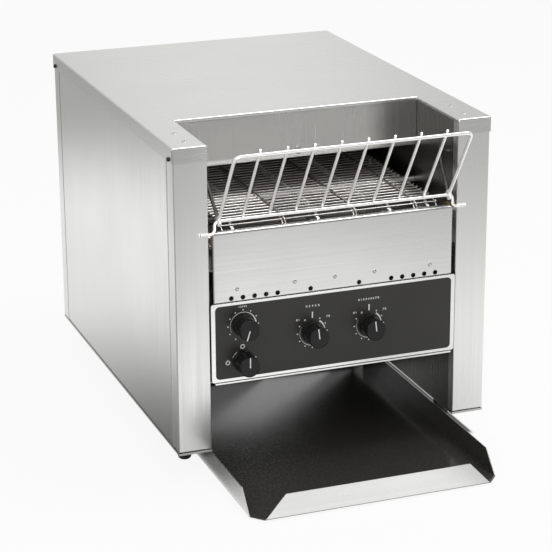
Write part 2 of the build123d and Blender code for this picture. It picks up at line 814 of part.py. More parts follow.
def make_chain():
    """Roller chain between the motor and the drive shaft."""
    plane = Plane(origin=(chain_x, rear_shaft_y, 0), x_dir=(0, 1, 0), z_dir=(1, 0, 0))
    half = chain_teeth // 2
    rollers = []
    for step in range(half + 1):
        angle = math.pi * step / half
        rollers.append((chain_r * math.cos(angle), shaft_z + chain_r * math.sin(angle)))
        rollers.append((chain_r * math.cos(angle), motor_z - chain_r * math.sin(angle)))
    for step in range(1, chain_pitches):
        rollers += [(side * chain_r, motor_z + chain_pitch * step) for side in (-1, 1)]
    middle = (shaft_z + motor_z) / 2
    length = shaft_z - motor_z
    with BuildPart() as chain:
        with BuildSketch(plane.offset(-chain_gap / 2)) as pins:
            with Locations(*rollers):
                Circle(chain_roller / 2)
        extrude(pins.sketch, amount=chain_gap)
        for side in (-1, 1):
            with BuildSketch(plane.offset(side * chain_gap / 2)) as plates:
                with Locations((0, middle)):
                    outer = chain_r + chain_plate_h / 2
                    inner = chain_r - chain_plate_h / 2
                    SlotOverall(length + 2 * outer, 2 * outer, rotation=90)
                    SlotOverall(length + 2 * inner, 2 * inner, rotation=90,
                                mode=Mode.SUBTRACT)
            extrude(plates.sketch, amount=side * chain_plate)
    finish(chain, "drive_chain")


def make_gear_motor():
    """Gear motor on the inner face of the right inner wall."""
    y = rear_shaft_y
    half = motor_case / 2
    box_x = (fit_x - 38, fit_x)
    with BuildPart() as motor:
        block(box_x, (y - half, y + half), (motor_z - half, motor_z + half))
        fillet(motor.edges().filter_by(Axis.X), 5)
        rod((box_x[0], y, motor_z), (box_x[0] - 58, y, motor_z), motor_case - 6)
        rod((box_x[0] - 58, y, motor_z), (box_x[0] - 66, y, motor_z), 30)
        rod((fit_x - 27, y, motor_z), (fit_x + 1, y, motor_z),
            motor_shaft_dia + 2 * fit_gap, mode=Mode.SUBTRACT)
    finish(motor, "gear_motor")


# ---------------------------------------------------------------- way out
def make_chute():
    """Chute that turns the falling toast forward and down to the tray."""
    points = [(front + chute_foot_y, chute_foot_z), (front + chute_y, chute_knee_z),
              (front + chute_y, chute_top_z)]
    with BuildPart() as chute:
        folded_sheet(points[::-1], chute_bend, (-fit_x, fit_x))
    finish(chute, "rear_chute")


def make_tray():
    """Toast tray: floor with cut corners, two sides and a sloping front lip."""
    z = (tray_z, tray_z + sheet)
    outline = [(-tray_half_w, front + tray_back_y), (-tray_half_w, front - tray_corner_y),
               (-lip_half_w, front - tray_reach), (lip_half_w, front - tray_reach),
               (tray_half_w, front - tray_corner_y), (tray_half_w, front + tray_back_y)]
    side = [(front + tray_back_y, tray_z), (front - tray_corner_y, tray_z),
            (front - tray_side_top_y, tray_z + tray_h), (front + tray_back_y, tray_z + tray_h)]
    lean = math.radians(lip_lean)
    lip_plane = Plane(origin=(0, front - tray_reach, tray_z), x_dir=(1, 0, 0),
                      z_dir=(0, -math.cos(lean), math.sin(lean)))
    with BuildPart() as tray:
        with BuildSketch(Plane.XY.offset(z[0])) as floor:
            with BuildLine():
                Polyline(*outline, close=True)
            make_face()
        extrude(floor.sketch, amount=sheet)
        for x in (-tray_half_w, tray_half_w - sheet):
            with BuildSketch(Plane.YZ.offset(x)) as flank:
                with BuildLine():
                    Polyline(*side, close=True)
                make_face()
            extrude(flank.sketch, amount=sheet)
        with BuildSketch(lip_plane) as lip:
            with BuildLine():
                Polyline((-lip_half_w, 0), (lip_half_w, 0), (lip_top_half_w, lip_h),
                         (-lip_top_half_w, lip_h), close=True)
            make_face()
        extrude(lip.sketch, amount=-sheet)
    finish(tray, "toast_tray")


def make_tray_glides():
    """Four flat glides under the tray."""
    with BuildPart() as glides:
        for x in (-tray_half_w + glide_inset, tray_half_w - glide_inset):
            for y in (front - tray_corner_y + glide_inset, front + tray_back_y - glide_inset):
                ring((x, y, 0), (0, 0, 1), glide_dia, 4, tray_z)
    finish(glides, "tray_glides")


# ---------------------------------------------------------------- loading rack
def make_rack_frame():
    """Bent wire frame of the rack, with an eye and a pivot arm at each foot."""
    top = (front + rack_top_y, rack_top_z)
    foot = (bar_y, hook_bar_z)
    eye_r = hook_wire / 2 + eye_gap + rack_wire / 2
    run = math.hypot(top[0] - foot[0], top[1] - foot[1])
    along = ((top[0] - foot[0]) / run, (top[1] - foot[1]) / run)
    leg = (foot[0] + along[0] * eye_r, foot[1] + along[1] * eye_r)
    arm_x = rack_half_w + 0.8 * rack_wire
    pivot = (front + pivot_y, pivot_z)
    reach = math.hypot(pivot[0] - foot[0], pivot[1] - foot[1])
    arm = (foot[0] + (pivot[0] - foot[0]) * eye_r / reach,
           foot[1] + (pivot[1] - foot[1]) * eye_r / reach)
    with BuildPart() as frame:
        bent_wire([(-rack_half_w, *leg), (-rack_half_w, *top), (rack_half_w, *top),
                   (rack_half_w, *leg)], 8, rack_wire)
        for side in (-1, 1):
            eye = Plane(origin=(side * rack_half_w, *foot), z_dir=(1, 0, 0))
            with Locations(eye):
                Torus(eye_r, rack_wire / 2)
            bent_wire([(side * rack_half_w, *arm), (side * arm_x, *pivot),
                       (side * (inner_x + pivot_pin), *pivot)], 5, rack_wire)
    finish(frame, "rack_frame")


def make_hook_bar():
    """Bar at the rack's foot; its ends hook in front of the columns."""
    drop_x = inner_x - hook_side_gap
    low_z = hook_bar_z - hook_drop
    tip_x = inner_x + hook_reach
    with BuildPart() as bar:
        bent_wire([(-tip_x, bar_y, low_z), (-drop_x, bar_y, low_z), (-drop_x, bar_y, hook_bar_z),
                   (drop_x, bar_y, hook_bar_z), (drop_x, bar_y, low_z), (tip_x, bar_y, low_z)],
                  hook_bend, hook_wire)
    finish(bar, "rack_hook_bar")


def make_slats():
    """Straight wires that the bread slides on, on the upper side of the rack."""
    top = (front + rack_top_y, rack_top_z)
    foot = (bar_y, hook_bar_z)
    run = math.hypot(top[0] - foot[0], top[1] - foot[1])
    along = ((top[0] - foot[0]) / run, (top[1] - foot[1]) / run)
    across = (along[1], -along[0])
    lift = (rack_wire + slat_wire) / 2 + weld_gap
    start = (foot[0] + across[0] * lift, foot[1] + across[1] * lift)
    end = (top[0] + across[0] * lift + along[0] * slat_tip,
           top[1] + across[1] * lift + along[1] * slat_tip)
    with BuildPart() as slats:
        for number in range(slat_count):
            x = (number - (slat_count - 1) / 2) * slat_pitch
            rod((x, *start), (x, *end), slat_wire)
        fillet(slats.edges().filter_by(GeomType.CIRCLE), 1)
    finish(slats, "rack_slats")


# ---------------------------------------------------------------- fan, cord gland, screws
def make_fan():
    """Cooling fan on the inner face of the back panel: frame and rotor."""
    y = rear_y - sheet - gap
    plane = Plane(origin=(fan_at[0], y, fan_at[1]), x_dir=(1, 0, 0), z_dir=(0, -1, 0))
    pin = 4.0
    with BuildPart() as frame:
        with BuildSketch(plane) as outline:
            RectangleRounded(fan_size, fan_size, 5)
            Circle(fan_bore / 2, mode=Mode.SUBTRACT)
            with GridLocations(fan_size - 9, fan_size - 9, 2, 2):
                Circle(2.1, mode=Mode.SUBTRACT)
        extrude(outline.sketch, amount=fan_t)
        with BuildSketch(plane) as spider:
            Circle(fan_hub / 2)
            with PolarLocations(fan_bore / 4 + 4, 3, start_angle=90):
                Rectangle(fan_bore / 2 - 4, 5)
            Circle(pin / 2 + fit_gap, mode=Mode.SUBTRACT)
        extrude(spider.sketch, amount=3)
    finish(frame, "fan_frame")
    with BuildPart() as rotor:
        with BuildSketch(plane.offset(3.5)) as hub:
            Circle(rotor_hub / 2)
        extrude(hub.sketch, amount=18)
        with BuildSketch(plane.offset(0.5)) as spindle:
            Circle(pin / 2)
        extrude(spindle.sketch, amount=10)
        blade_len = (rotor_dia - rotor_hub) / 2 + 3
        middle = (rotor_dia - blade_len) / 2
        for number in range(blade_count):
            turn = Rotation(0, 0, 360 / blade_count * number)
            with Locations(plane.location * turn * Pos(middle, 0, 12.5) * Rotation(40, 0, 0)):
                Box(blade_len, 20, 1.6)
    finish(rotor, "fan_rotor")


def make_cord_gland():
    """Gland for the mains cord in the back panel."""
    x, z = gland_at
    inside = rear_y - sheet
    with BuildPart() as gland:
        rod((x, inside - 12, z), (x, back + 2, z), gland_dia)
        rod((x, inside - 0.1, z), (x, inside - 6, z), gland_nut_dia)
        rod((x, rear_y + 0.1, z), (x, rear_y + 5, z), gland_nut_dia + 2)
        rod((x, rear_y + 5, z), (x, back + gland_reach, z), gland_nut_dia - 4)
        fillet(gland.edges().group_by(Axis.Y)[-1], 3)
        rod((x, inside - 13, z), (x, back + gland_reach + 1, z), 9, mode=Mode.SUBTRACT)
    finish(gland, "cord_gland")


def make_terminal_block():
    """Mains terminal block on the base pan, near the gland."""
    x = gland_at[0]
    floor = base_z + sheet
    y = (rear_y - terminal_back - 22, rear_y - terminal_back)
    with BuildPart() as block_part:
        block((x - terminal_w / 2, x + terminal_w / 2), y, (floor, floor + 20))
        with Locations(*[(x + at * terminal_w, sum(y) / 2, floor + 20) for at in (-0.3, 0, 0.3)]):
            Cylinder(3, 16, mode=Mode.SUBTRACT)
    finish(block_part, "terminal_block")


def screw(head_at, direction, head=screw_head, head_h=screw_head_h):
    """A pan-head screw whose shank runs from head_at along direction."""
    start = Vector(*head_at)
    way = Vector(*direction)
    rod(tuple(start), tuple(start - way * head_h), head)
    rod(tuple(start), tuple(start + way * screw_len), screw_shank)


def make_screws():
    """Screws of the cover, the back panel, the recess wall and the motor."""
    with BuildPart() as cover_screws:
        for side in (-1, 1):
            for y in top_screw_y:
                screw((side * top_screw_x, front + y, top_z), (0, 0, -1))
        fillet(cover_screws.edges().group_by(Axis.Z)[-1], 1.2)
    finish(cover_screws, "cover_screws")
    with BuildPart() as side_screws:
        z = top_z - side_screw_drop
        for side in (-1, 1):
            for y in (front + side_screw_y, back - side_screw_y):
                rod((side * half_w, y, z), (side * (half_w + 3), y, z), 7)
        fillet(side_screws.edges().group_by(Axis.X)[-1], 1)
        fillet(side_screws.edges().group_by(Axis.X)[0], 1)
    finish(side_screws, "side_screws")
    with BuildPart() as back_screws:
        for x, z in back_screw_places():
            screw((x, rear_y, z), (0, -1, 0))
        fillet(back_screws.edges().group_by(Axis.Y)[-1], 1.2)
    finish(back_screws, "back_screws")
    with BuildPart() as hopper_pins:
        for z in hopper_screws:
            y = front + recess_d
            rod((0, y, hopper_z + z), (0, y - 1.0, hopper_z + z), 5)
            rod((0, y, hopper_z + z), (0, y + 5, hopper_z + z), 2.8)
        fillet(hopper_pins.edges().group_by(Axis.Y)[0], 0.6)
    finish(hopper_pins, "hopper_screws")


# ---------------------------------------------------------------- build
make_base_pan()
make_rubber_feet()
make_top_cover()
make_front_column()
make_side_panel()
make_back_panel()
make_hopper_wall()
make_inner_wall()
make_front_panel()
make_panel_rivets()
make_control_panel()
make_control_overlay()
make_knob("speed_knob", speed_at, speed_pointer)
make_knob("power_knob", power_at, power_pointer)
make_knob("top_heat_knob", top_heat_at, top_heat_pointer)
make_knob("bottom_heat_knob", bottom_heat_at, bottom_heat_pointer)
make_control("speed_control", speed_at, 26)
make_control("power_switch", power_at, 42)
make_control("top_heat_control", top_heat_at, 38)
make_control("bottom_heat_control", bottom_heat_at, 38)
make_control_housing()
make_control_board()
make_heat_shield()
make_reflector("top_reflector", upper_element_z + reflector_gap,
               (front + recess_d + reflector_start, slide_ends[1]), hem)
make_reflector("lower_reflector", lower_element_z - reflector_gap - sheet, slide_ends, hem / 2)
make_elements("upper_elements", upper_element_z, upper_places())
make_elements("lower_elements", lower_element_z, lower_places())
make_insulators()
make_shaft("idler_shaft", front_shaft_y, inner_x + sheet + shaft_overhang)
make_shaft("drive_shaft", rear_shaft_y, chain_x + 8)
make_belt_wheels("idler_belt_wheels", front_shaft_y)
make_belt_wheels("drive_belt_wheels", rear_shaft_y)
make_bearings()
make_belt_run("belt_upper_run", belt_z)
make_belt_run("belt_lower_run", belt_low_z)
make_belt_wrap("belt_front_wrap", front_shaft_y, -1)
make_belt_wrap("belt_rear_wrap", rear_shaft_y, 1)
make_belt_support()
make_chain_wheel("shaft_chain_wheel", rear_shaft_y, shaft_z, stub=False)
make_chain_wheel("motor_chain_wheel", rear_shaft_y, motor_z, stub=True)
make_chain()
make_gear_motor()
make_chute()
make_tray()
make_tray_glides()
make_rack_frame()
make_hook_bar()
make_slats()
make_fan()
make_cord_gland()
make_terminal_block()
make_screws()

print(len(pieces), "pieces; belt circle", round(belt_r, 2), "mm, chain circle", round(chain_r, 2), "mm")
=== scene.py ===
# %% [markdown]
# # Dressing a conveyor toaster
# The solid model gives every part its size and place. This lesson builds the looks around it:
# folded stainless sheet, a wire rack, a woven wire belt, printed scales and moulded knobs.
# Most cells make one thing and print what they made, so the script can be run and checked step by
# step.

import json
import math

import bmesh
import bpy
from mathutils import Matrix, Vector

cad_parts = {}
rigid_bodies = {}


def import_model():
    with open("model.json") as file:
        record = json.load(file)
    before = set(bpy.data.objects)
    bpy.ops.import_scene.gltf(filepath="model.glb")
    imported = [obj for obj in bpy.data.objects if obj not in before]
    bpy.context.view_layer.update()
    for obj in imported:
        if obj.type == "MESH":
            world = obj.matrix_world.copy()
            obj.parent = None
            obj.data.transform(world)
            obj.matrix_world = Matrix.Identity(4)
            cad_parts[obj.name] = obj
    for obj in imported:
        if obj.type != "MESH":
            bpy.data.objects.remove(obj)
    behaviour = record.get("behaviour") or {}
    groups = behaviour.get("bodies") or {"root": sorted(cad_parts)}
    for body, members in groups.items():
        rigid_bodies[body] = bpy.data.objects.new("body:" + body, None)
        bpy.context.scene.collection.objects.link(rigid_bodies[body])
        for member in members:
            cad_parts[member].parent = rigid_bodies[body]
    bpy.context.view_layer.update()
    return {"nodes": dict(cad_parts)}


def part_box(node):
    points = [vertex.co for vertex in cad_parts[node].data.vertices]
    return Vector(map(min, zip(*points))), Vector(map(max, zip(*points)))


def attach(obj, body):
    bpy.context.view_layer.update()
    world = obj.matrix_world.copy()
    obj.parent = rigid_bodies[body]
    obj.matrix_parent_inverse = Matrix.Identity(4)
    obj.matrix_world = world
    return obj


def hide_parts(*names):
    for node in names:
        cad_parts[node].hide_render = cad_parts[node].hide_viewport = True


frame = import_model()
MM = 0.001
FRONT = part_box("top_cover")[0][1]

# %% [markdown]
# All sizes below are millimetres. Heights count from the counter, and depths count back from the
# casing's front plane, because that is how a sheet-metal drawing of this machine would be read.
# One small function turns such a place into Blender's metres. Another reads a part's corners from
# the solid model, so that the sheets drawn below fit the solids that they stand for.

# %% Points of the drawing and sizes of the casing


def at(x, y, z):
    """A point in metres from millimetres, y counted back from the casing's front plane."""
    return Vector((x * MM, FRONT + y * MM, z * MM))


def limits(node):
    """The low and the high corner of a solid part, in the drawing's millimetres."""
    return [(round(x / MM, 2), round((y - FRONT) / MM, 2), round(z / MM, 2))
            for x, y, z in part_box(node)]


HALF, DEPTH, TOP = limits("top_cover")[1]
SIDE, REAR, HIGH = limits("back_panel")[1]
INNER, FACE = limits("right_front_column")[0][:2]
RECESS = limits("hopper_back_wall")[0][1]
LOW = 42.3
print("casing", 2 * HALF, "x", DEPTH, "mm, top at", TOP)

# %% [markdown]
# ## Camera
# The machine is seen from the left and from above with a long lens, so its edges stay nearly
# parallel. A camera's own axes are right, up and backwards, and those three vectors are the
# columns of its matrix. Writing them down is easier to repeat than turning the camera by hand.

# %% Place the camera
LENS, SENSOR = 134.25, 36
CAMERA = at(-1023.12, -2518.02, 1202.43)
forward = Vector((0.32938, 0.88728, -0.32287)).normalized()
right = Vector((0.93673, -0.34999, -0.0062))
right = (right - right.dot(forward) * forward).normalized()
up = right.cross(forward)
camera = bpy.data.objects.new("camera", bpy.data.cameras.new("camera"))
bpy.context.collection.objects.link(camera)
turned = Matrix((right, up, -forward)).transposed().to_4x4()
camera.matrix_world = Matrix.Translation(CAMERA) @ turned
camera.data.sensor_width = SENSOR
camera.data.lens = LENS
bpy.context.scene.camera = camera
print("camera lens", camera.data.lens, "mm")

# %% [markdown]
# ## Light and floor
# Brushed steel shows its surroundings more than its own colour, so the room counts as part of the
# finish. Its tones are made with shader nodes. Each helper below adds one or two nodes, links
# them and hands on the result, which keeps the cells that use them short.

# %% Helpers for shader nodes


def add_node(tree, kind, inputs=None, **settings):
    """A new node with its settings and unlinked inputs filled in; a socket in inputs is linked."""
    made = tree.nodes.new(kind)
    for key, value in settings.items():
        setattr(made, key, value)
    for key, value in (inputs or {}).items():
        if isinstance(value, bpy.types.NodeSocket):
            tree.links.new(value, made.inputs[key])
        else:
            made.inputs[key].default_value = value
    return made


def mirror_rays(tree):
    """Two factors: 1 for a camera ray, and 1 for a ray that left a mirror or a glass."""
    rays = add_node(tree, "ShaderNodeLightPath")
    mirrored = add_node(tree, "ShaderNodeMath", {0: rays.outputs["Is Glossy Ray"],
                                                 1: rays.outputs["Is Transmission Ray"]},
                        operation="MAXIMUM")
    return rays.outputs["Is Camera Ray"], mirrored.outputs[0]


def blend(tree, factor, first, second):
    """A number between two numbers."""
    return add_node(tree, "ShaderNodeMix", {"Factor": factor, "A": first, "B": second},
                    data_type="FLOAT").outputs[0]


def ramp(tree, value, start, end, first, second):
    """first up to start, second from end on, and a soft step between them."""
    return add_node(tree, "ShaderNodeMapRange",
                    {"Value": value, "From Min": start, "From Max": end, "To Min": first,
                     "To Max": second}, interpolation_type="SMOOTHSTEP").outputs[0]


def times(tree, first, second):
    """The product of two numbers."""
    return add_node(tree, "ShaderNodeMath", {0: first, 1: second},
                    operation="MULTIPLY").outputs[0]


def window(tree, value, rise, fall):
    """1 between two soft edges and 0 outside them."""
    return times(tree, ramp(tree, value, *rise, 0.0, 1.0), ramp(tree, value, *fall, 1.0, 0.0))


print("shader helpers ready")

# %% [markdown]
# The room is bright, and its ceiling is brighter than its walls. The far wall is brightest in its
# middle, which lays a soft band of light along the top cover. A black card hangs high at the
# front right: flat sheets don't mirror it from where the camera stands, but round wires do, and
# that gives them dark edges. Only mirrored rays see all this. The camera sees plain white, and
# matt surfaces get an even light.

# %% The room
EVEN_LIGHT = 0.55
world = bpy.data.worlds.new("studio")
bpy.context.scene.world = world
world.use_nodes = True
tree = world.node_tree
tree.nodes.clear()
camera_ray, mirrored = mirror_rays(tree)
direction = add_node(tree, "ShaderNodeSeparateXYZ",
                     {0: add_node(tree, "ShaderNodeTexCoord").outputs["Generated"]})
rightward, backward, upward = (direction.outputs[axis] for axis in "XYZ")
walls = ramp(tree, backward, -0.6, 0.3, 0.8, 0.87)
ceiling = ramp(tree, upward, 0.5, 0.8, 0.0, 1.0)
high_right = times(tree, ramp(tree, rightward, 0.0, 0.25, 0.0, 1.0),
                   ramp(tree, upward, 0.08, 0.3, 0.0, 1.0))
black_card = blend(tree, high_right, 1.0, ramp(tree, backward, -0.6, -0.15, 0.2, 1.0))
far_wall = ramp(tree, backward, 0.6, 0.8, 0.0, 1.0)
band = times(tree, ramp(tree, rightward, 0.18, 0.31, 0.74, 1.0),
             ramp(tree, rightward, 0.33, 0.46, 1.0, 0.62))
room = times(tree, times(tree, blend(tree, ceiling, walls, 1.1), black_card),
             blend(tree, far_wall, 1.0, band))
level = blend(tree, camera_ray, blend(tree, mirrored, EVEN_LIGHT, room), 1.0)
sky = add_node(tree, "ShaderNodeBackground", {"Color": (1, 1, 1, 1), "Strength": level})
tree.links.new(sky.outputs[0], add_node(tree, "ShaderNodeOutputWorld").inputs["Surface"])
print("room:", len(tree.nodes), "shader nodes")

# %% [markdown]
# Two large square lamps do the rest. The strong one hangs overhead, where neither the upright
# sheets nor the belt's wires mirror it. The weak one stands at the left and lifts that side.

# %% Two lamps
MACHINE = (0, 0, 0.25)


def soft_lamp(name, place, target, size, watts):
    """A large square lamp that looks at a target."""
    lamp = bpy.data.objects.new(name, bpy.data.lights.new(name, "AREA"))
    bpy.context.collection.objects.link(lamp)
    lamp.location = place
    lamp.rotation_euler = (Vector(target) - Vector(place)).to_track_quat("-Z", "Y").to_euler()
    lamp.data.shape = "SQUARE"
    lamp.data.size = size
    lamp.data.energy = watts
    return lamp


soft_lamp("key_lamp", (0.95, -0.2, 2.8), MACHINE, size=1.5, watts=30)
soft_lamp("fill_lamp", (-2.0, -1.6, 1.6), MACHINE, size=1.8, watts=9)

# %% [markdown]
# To the camera the floor is white paper. A standing sheet mirrors the near floor at its foot and
# the far floor at its top, so the paper that the sheets see is pale near the machine and greyer far
# away, and each sheet darkens upwards. Beside the casing, before its left column, at the front
# right and towards the front left, the paper that the sheets see is painted darker. This is painted
# shade for the machine's shadow on the floor, and each strip is set for the one sheet that mirrors
# it. In the gap under the casing's right side the paper has a painted shadow, darker in its colour
# and to the camera as well, where little light gets in.

# %% The floor
bpy.ops.mesh.primitive_plane_add(size=14, location=(0, 0, 0))
floor = bpy.context.active_object
floor.name = "floor"
paper = bpy.data.materials.new("floor_paper")
paper.use_nodes = True
tree = paper.node_tree
tree.nodes.clear()
camera_ray, mirrored = mirror_rays(tree)
place = add_node(tree, "ShaderNodeTexCoord").outputs["Object"]
away = add_node(tree, "ShaderNodeVectorMath", {0: place, 1: (-0.1, 0.1, 0)},
                operation="DISTANCE").outputs["Value"]
split = add_node(tree, "ShaderNodeSeparateXYZ", {0: place})
across, along = split.outputs["X"], split.outputs["Y"]
# Painted shade: the mirrored paper is darker beside the casing's left side and before its left
# column.
painted_side_shade = blend(tree, ramp(tree, across, -0.6, -0.3, 0.0, 1.0), 1.0,
                ramp(tree, along, FRONT + 0.1, FRONT + 0.8, 0.0, 0.78))
painted_column_shade = ramp(tree, along, FRONT - 0.12, FRONT + 0.01, 0.7, 0.1)
left = blend(tree, ramp(tree, across, -0.238, -0.23, 0.0, 1.0), painted_side_shade, painted_column_shade)
# Painted shade: the mirrored paper is darker at the front right.
near_right = times(tree, ramp(tree, across, 0.12, 0.2, 0.0, 1.0),
                   ramp(tree, along, FRONT - 0.6, FRONT - 0.35, 0.0, 1.0))
ahead = blend(tree, near_right, ramp(tree, across, 0.25, 0.5, 1.0, 0.82),
              ramp(tree, across, 0.2, 0.5, 0.55, 0.95))
painted_shade_strips = blend(tree, ramp(tree, across, -0.192, -0.184, 0.0, 1.0), left, ahead)
# Painted shade: the mirrored paper is darker towards the front left.
to_front_left = add_node(tree, "ShaderNodeMath", {0: across, 1: 2.7, 2: along},
                         operation="MULTIPLY_ADD").outputs[0]
corner = ramp(tree, to_front_left, -1.2, -0.98, 0.15, 1.0)
pool = times(tree, times(tree, ramp(tree, away, 1.0, 1.85, 1.32, 0.38), painted_shade_strips), corner)
glow = blend(tree, camera_ray, pool, 1.0)
# Painted shadow: a darker strip of paper in the gap under the casing's right side, for the camera
# and for mirrors alike.
painted_gap_shadow = times(tree, window(tree, across, (0.17, 0.19), (0.222, 0.226)),
            window(tree, along, (FRONT, FRONT + 0.02), (0.1, 0.12)))
lit = add_node(tree, "ShaderNodeBsdfDiffuse", {"Color": blend(tree, painted_gap_shadow, 0.86, 0.15)})
white = add_node(tree, "ShaderNodeEmission", {"Color": (1, 1, 1, 1), "Strength": glow})
share = blend(tree, camera_ray, blend(tree, mirrored, 0.0, 0.6), blend(tree, painted_gap_shadow, 0.9, 0.05))
mixed = add_node(tree, "ShaderNodeMixShader", {0: share, 1: lit.outputs[0],
                                               2: white.outputs[0]})
tree.links.new(mixed.outputs[0], add_node(tree, "ShaderNodeOutputMaterial").inputs["Surface"])
floor.data.materials.append(paper)
bpy.context.scene.view_settings.view_transform = "Standard"
print("floor:", len(tree.nodes), "shader nodes")

# %% [markdown]
# ## Finishes
# Each finish is Blender's main shader with a little noise in its colour, its roughness and its
# relief, because no real surface is quite even. The helpers below make such noise, stretch it to
# a range, and turn it into a colour or into bumps. All patterns read Object coordinates, so they
# stay put on every piece.

# %% Helpers for finishes


def start_material(name, **values):
    """A material with its main shader's plain values set."""
    material = bpy.data.materials.new(name)
    material.use_nodes = True
    shader = material.node_tree.nodes["Principled BSDF"]
    for key, value in values.items():
        shader.inputs[key.replace("_", " ")].default_value = value
    return material, material.node_tree, shader


def noise(tree, scale, detail=3.0, roughness=0.55):
    """Noise on Object coordinates; scale is its features per metre along X, Y and Z."""
    place = add_node(tree, "ShaderNodeTexCoord").outputs["Object"]
    turned = add_node(tree, "ShaderNodeMapping", {"Vector": place, "Scale": scale})
    return add_node(tree, "ShaderNodeTexNoise",
                    {"Vector": turned.outputs[0], "Scale": 1.0, "Detail": detail,
                     "Roughness": roughness}).outputs["Fac"]


def spread(tree, value, low, high, start=0.3, end=0.7):
    """value from start..end stretched to low..high."""
    return add_node(tree, "ShaderNodeMapRange",
                    {"Value": value, "From Min": start, "From Max": end, "To Min": low,
                     "To Max": high}).outputs[0]


def tint(tree, factor, first, second):
    """A colour between two colours."""
    mix = add_node(tree, "ShaderNodeMix", data_type="RGBA")
    tree.links.new(factor, mix.inputs[0])
    mix.inputs[6].default_value = (*first, 1)
    mix.inputs[7].default_value = (*second, 1)
    return mix.outputs[2]


def relief(tree, shader, value, depth, strength=1.0):
    """Bumps of that depth in metres on the main shader."""
    bump = add_node(tree, "ShaderNodeBump", {"Height": value, "Distance": depth,
                                             "Strength": strength})
    tree.links.new(bump.outputs[0], shader.inputs["Normal"])


def shade(colour, factor):
    """The colour made lighter or darker."""
    return tuple(min(channel * factor, 1.0) for channel in colour)


print("finish helpers ready")

# %% [markdown]
# Brushed stainless is a plain metal whose surface is scratched in one direction. Two noises
# stretched along the grain do it: a coarse one shifts the shade by a few percent, as a real
# sheet does, and a fine one bends the surface a hair's breadth, which spreads its reflections
# across the grain. Each sheet has its own grain, across the machine or upright.

# %% Brushed steel
ACROSS, UPRIGHT = 0, 2


def brushed_steel(name, colour, grain, roughness=0.3, streak=0.05, depth=0.00002):
    """Stainless sheet brushed along one axis."""
    material, tree, shader = start_material(name, Metallic=1.0)
    coarse, fine = [330.0] * 3, [2400.0] * 3
    coarse[grain], fine[grain] = 3.0, 26.0
    streaks = noise(tree, coarse, detail=4)
    hair = noise(tree, fine, detail=2)
    cloud = noise(tree, (5, 5, 5), detail=2)
    mixed = add_node(tree, "ShaderNodeMath", {0: streaks, 1: cloud}, operation="ADD").outputs[0]
    colours = tint(tree, spread(tree, mixed, 0, 1, 0.75, 1.25),
                   shade(colour, 1 - streak), shade(colour, 1 + streak))
    tree.links.new(colours, shader.inputs["Base Color"])
    tree.links.new(spread(tree, mixed, roughness + 0.05, roughness - 0.04, 0.75, 1.25),
                   shader.inputs["Roughness"])
    relief(tree, shader, hair, depth)
    return material


# The sheets are one stainless steel in several tones: the columns are painted lighter as a lit
# copy, and the recess wall and the inner walls are painted darker as shaded copies of it.
STEEL = (0.78, 0.78, 0.765)
cover_steel = brushed_steel("cover_steel", STEEL, ACROSS, 0.27, streak=0.012, depth=0.000006)
side_steel = brushed_steel("side_steel", STEEL, UPRIGHT, 0.2, streak=0.015, depth=0.000012)
column_steel = brushed_steel("column_steel", (0.86, 0.86, 0.84), UPRIGHT, 0.3, streak=0.02,
                             depth=0.000006)
front_steel = brushed_steel("front_steel", STEEL, ACROSS, 0.24, streak=0.015, depth=0.000006)
hopper_steel = brushed_steel("hopper_steel", (0.60, 0.595, 0.575), UPRIGHT, 0.25, streak=0.03,
                             depth=0.00001)
wall_steel = brushed_steel("wall_steel", (0.28, 0.276, 0.264), UPRIGHT, 0.3, streak=0.015,
                           depth=0.000001)
border_steel = brushed_steel("border_steel", (0.86, 0.86, 0.85), ACROSS, 0.2, streak=0.02)
tray_steel = brushed_steel("tray_steel", (0.74, 0.74, 0.73), ACROSS, 0.26, streak=0.02)
pan_steel = brushed_steel("pan_steel", (0.6, 0.6, 0.59), ACROSS, 0.42, streak=0.05)
print("steels:", [steel.name for steel in (cover_steel, side_steel, column_steel, front_steel,
                                           hopper_steel, wall_steel, border_steel, tray_steel,
                                           pan_steel)])

# %% [markdown]
# The other finishes follow the same idea: a base, a slow change of shade over centimetres, and a
# fine relief. Steel near the heating elements takes a straw and brown tint, the tray's inside is
# sprayed with a dark coating that has a soft, slightly pebbled sheen, and wires are plated.

# %% Coatings, wire and heat-tinted steel


def cloudy(name, first, second, scale=40.0, rough=(0.4, 0.55), depth=0.0, grit=900.0, **values):
    """A finish whose colour and roughness drift between two ends, with a fine relief."""
    material, tree, shader = start_material(name, **values)
    drift = noise(tree, (scale,) * 3, detail=4)
    tree.links.new(tint(tree, spread(tree, drift, 0, 1), first, second),
                   shader.inputs["Base Color"])
    tree.links.new(spread(tree, drift, *rough), shader.inputs["Roughness"])
    if depth:
        relief(tree, shader, noise(tree, (grit,) * 3, detail=2), depth)
    return material


coating = cloudy("dark_coating", (0.044, 0.0425, 0.039), (0.054, 0.052, 0.048), 260,
                 (0.12, 0.22), 0.00002, 450)
# Painted shade: the rack's arms are plated wire given a dark colour for the shade inside the
# recess.
warm_wire = cloudy("warm_wire", (0.07, 0.067, 0.062), (0.15, 0.145, 0.135), 60, (0.16, 0.26),
                   0.00001, 500, Metallic=1.0)
rack_plating = cloudy("rack_plating", (0.84, 0.83, 0.81), (0.92, 0.91, 0.89), 60, (0.16, 0.22),
                      0.00001, 500, Metallic=0.65)
belt_wire = cloudy("belt_wire", (0.66, 0.64, 0.61), (0.80, 0.785, 0.76), 30, (0.16, 0.28),
                   0.00001, 900, Metallic=1.0)
reflector_steel = cloudy("heat_tinted_steel", (0.10, 0.08, 0.06), (0.24, 0.21, 0.17), 14,
                         (0.3, 0.45), 0.00002, 700, Metallic=1.0)
element_sheath = cloudy("element_sheath", (0.055, 0.05, 0.046), (0.13, 0.115, 0.10), 90,
                        (0.45, 0.65), 0.00003, 1600, Metallic=0.6)
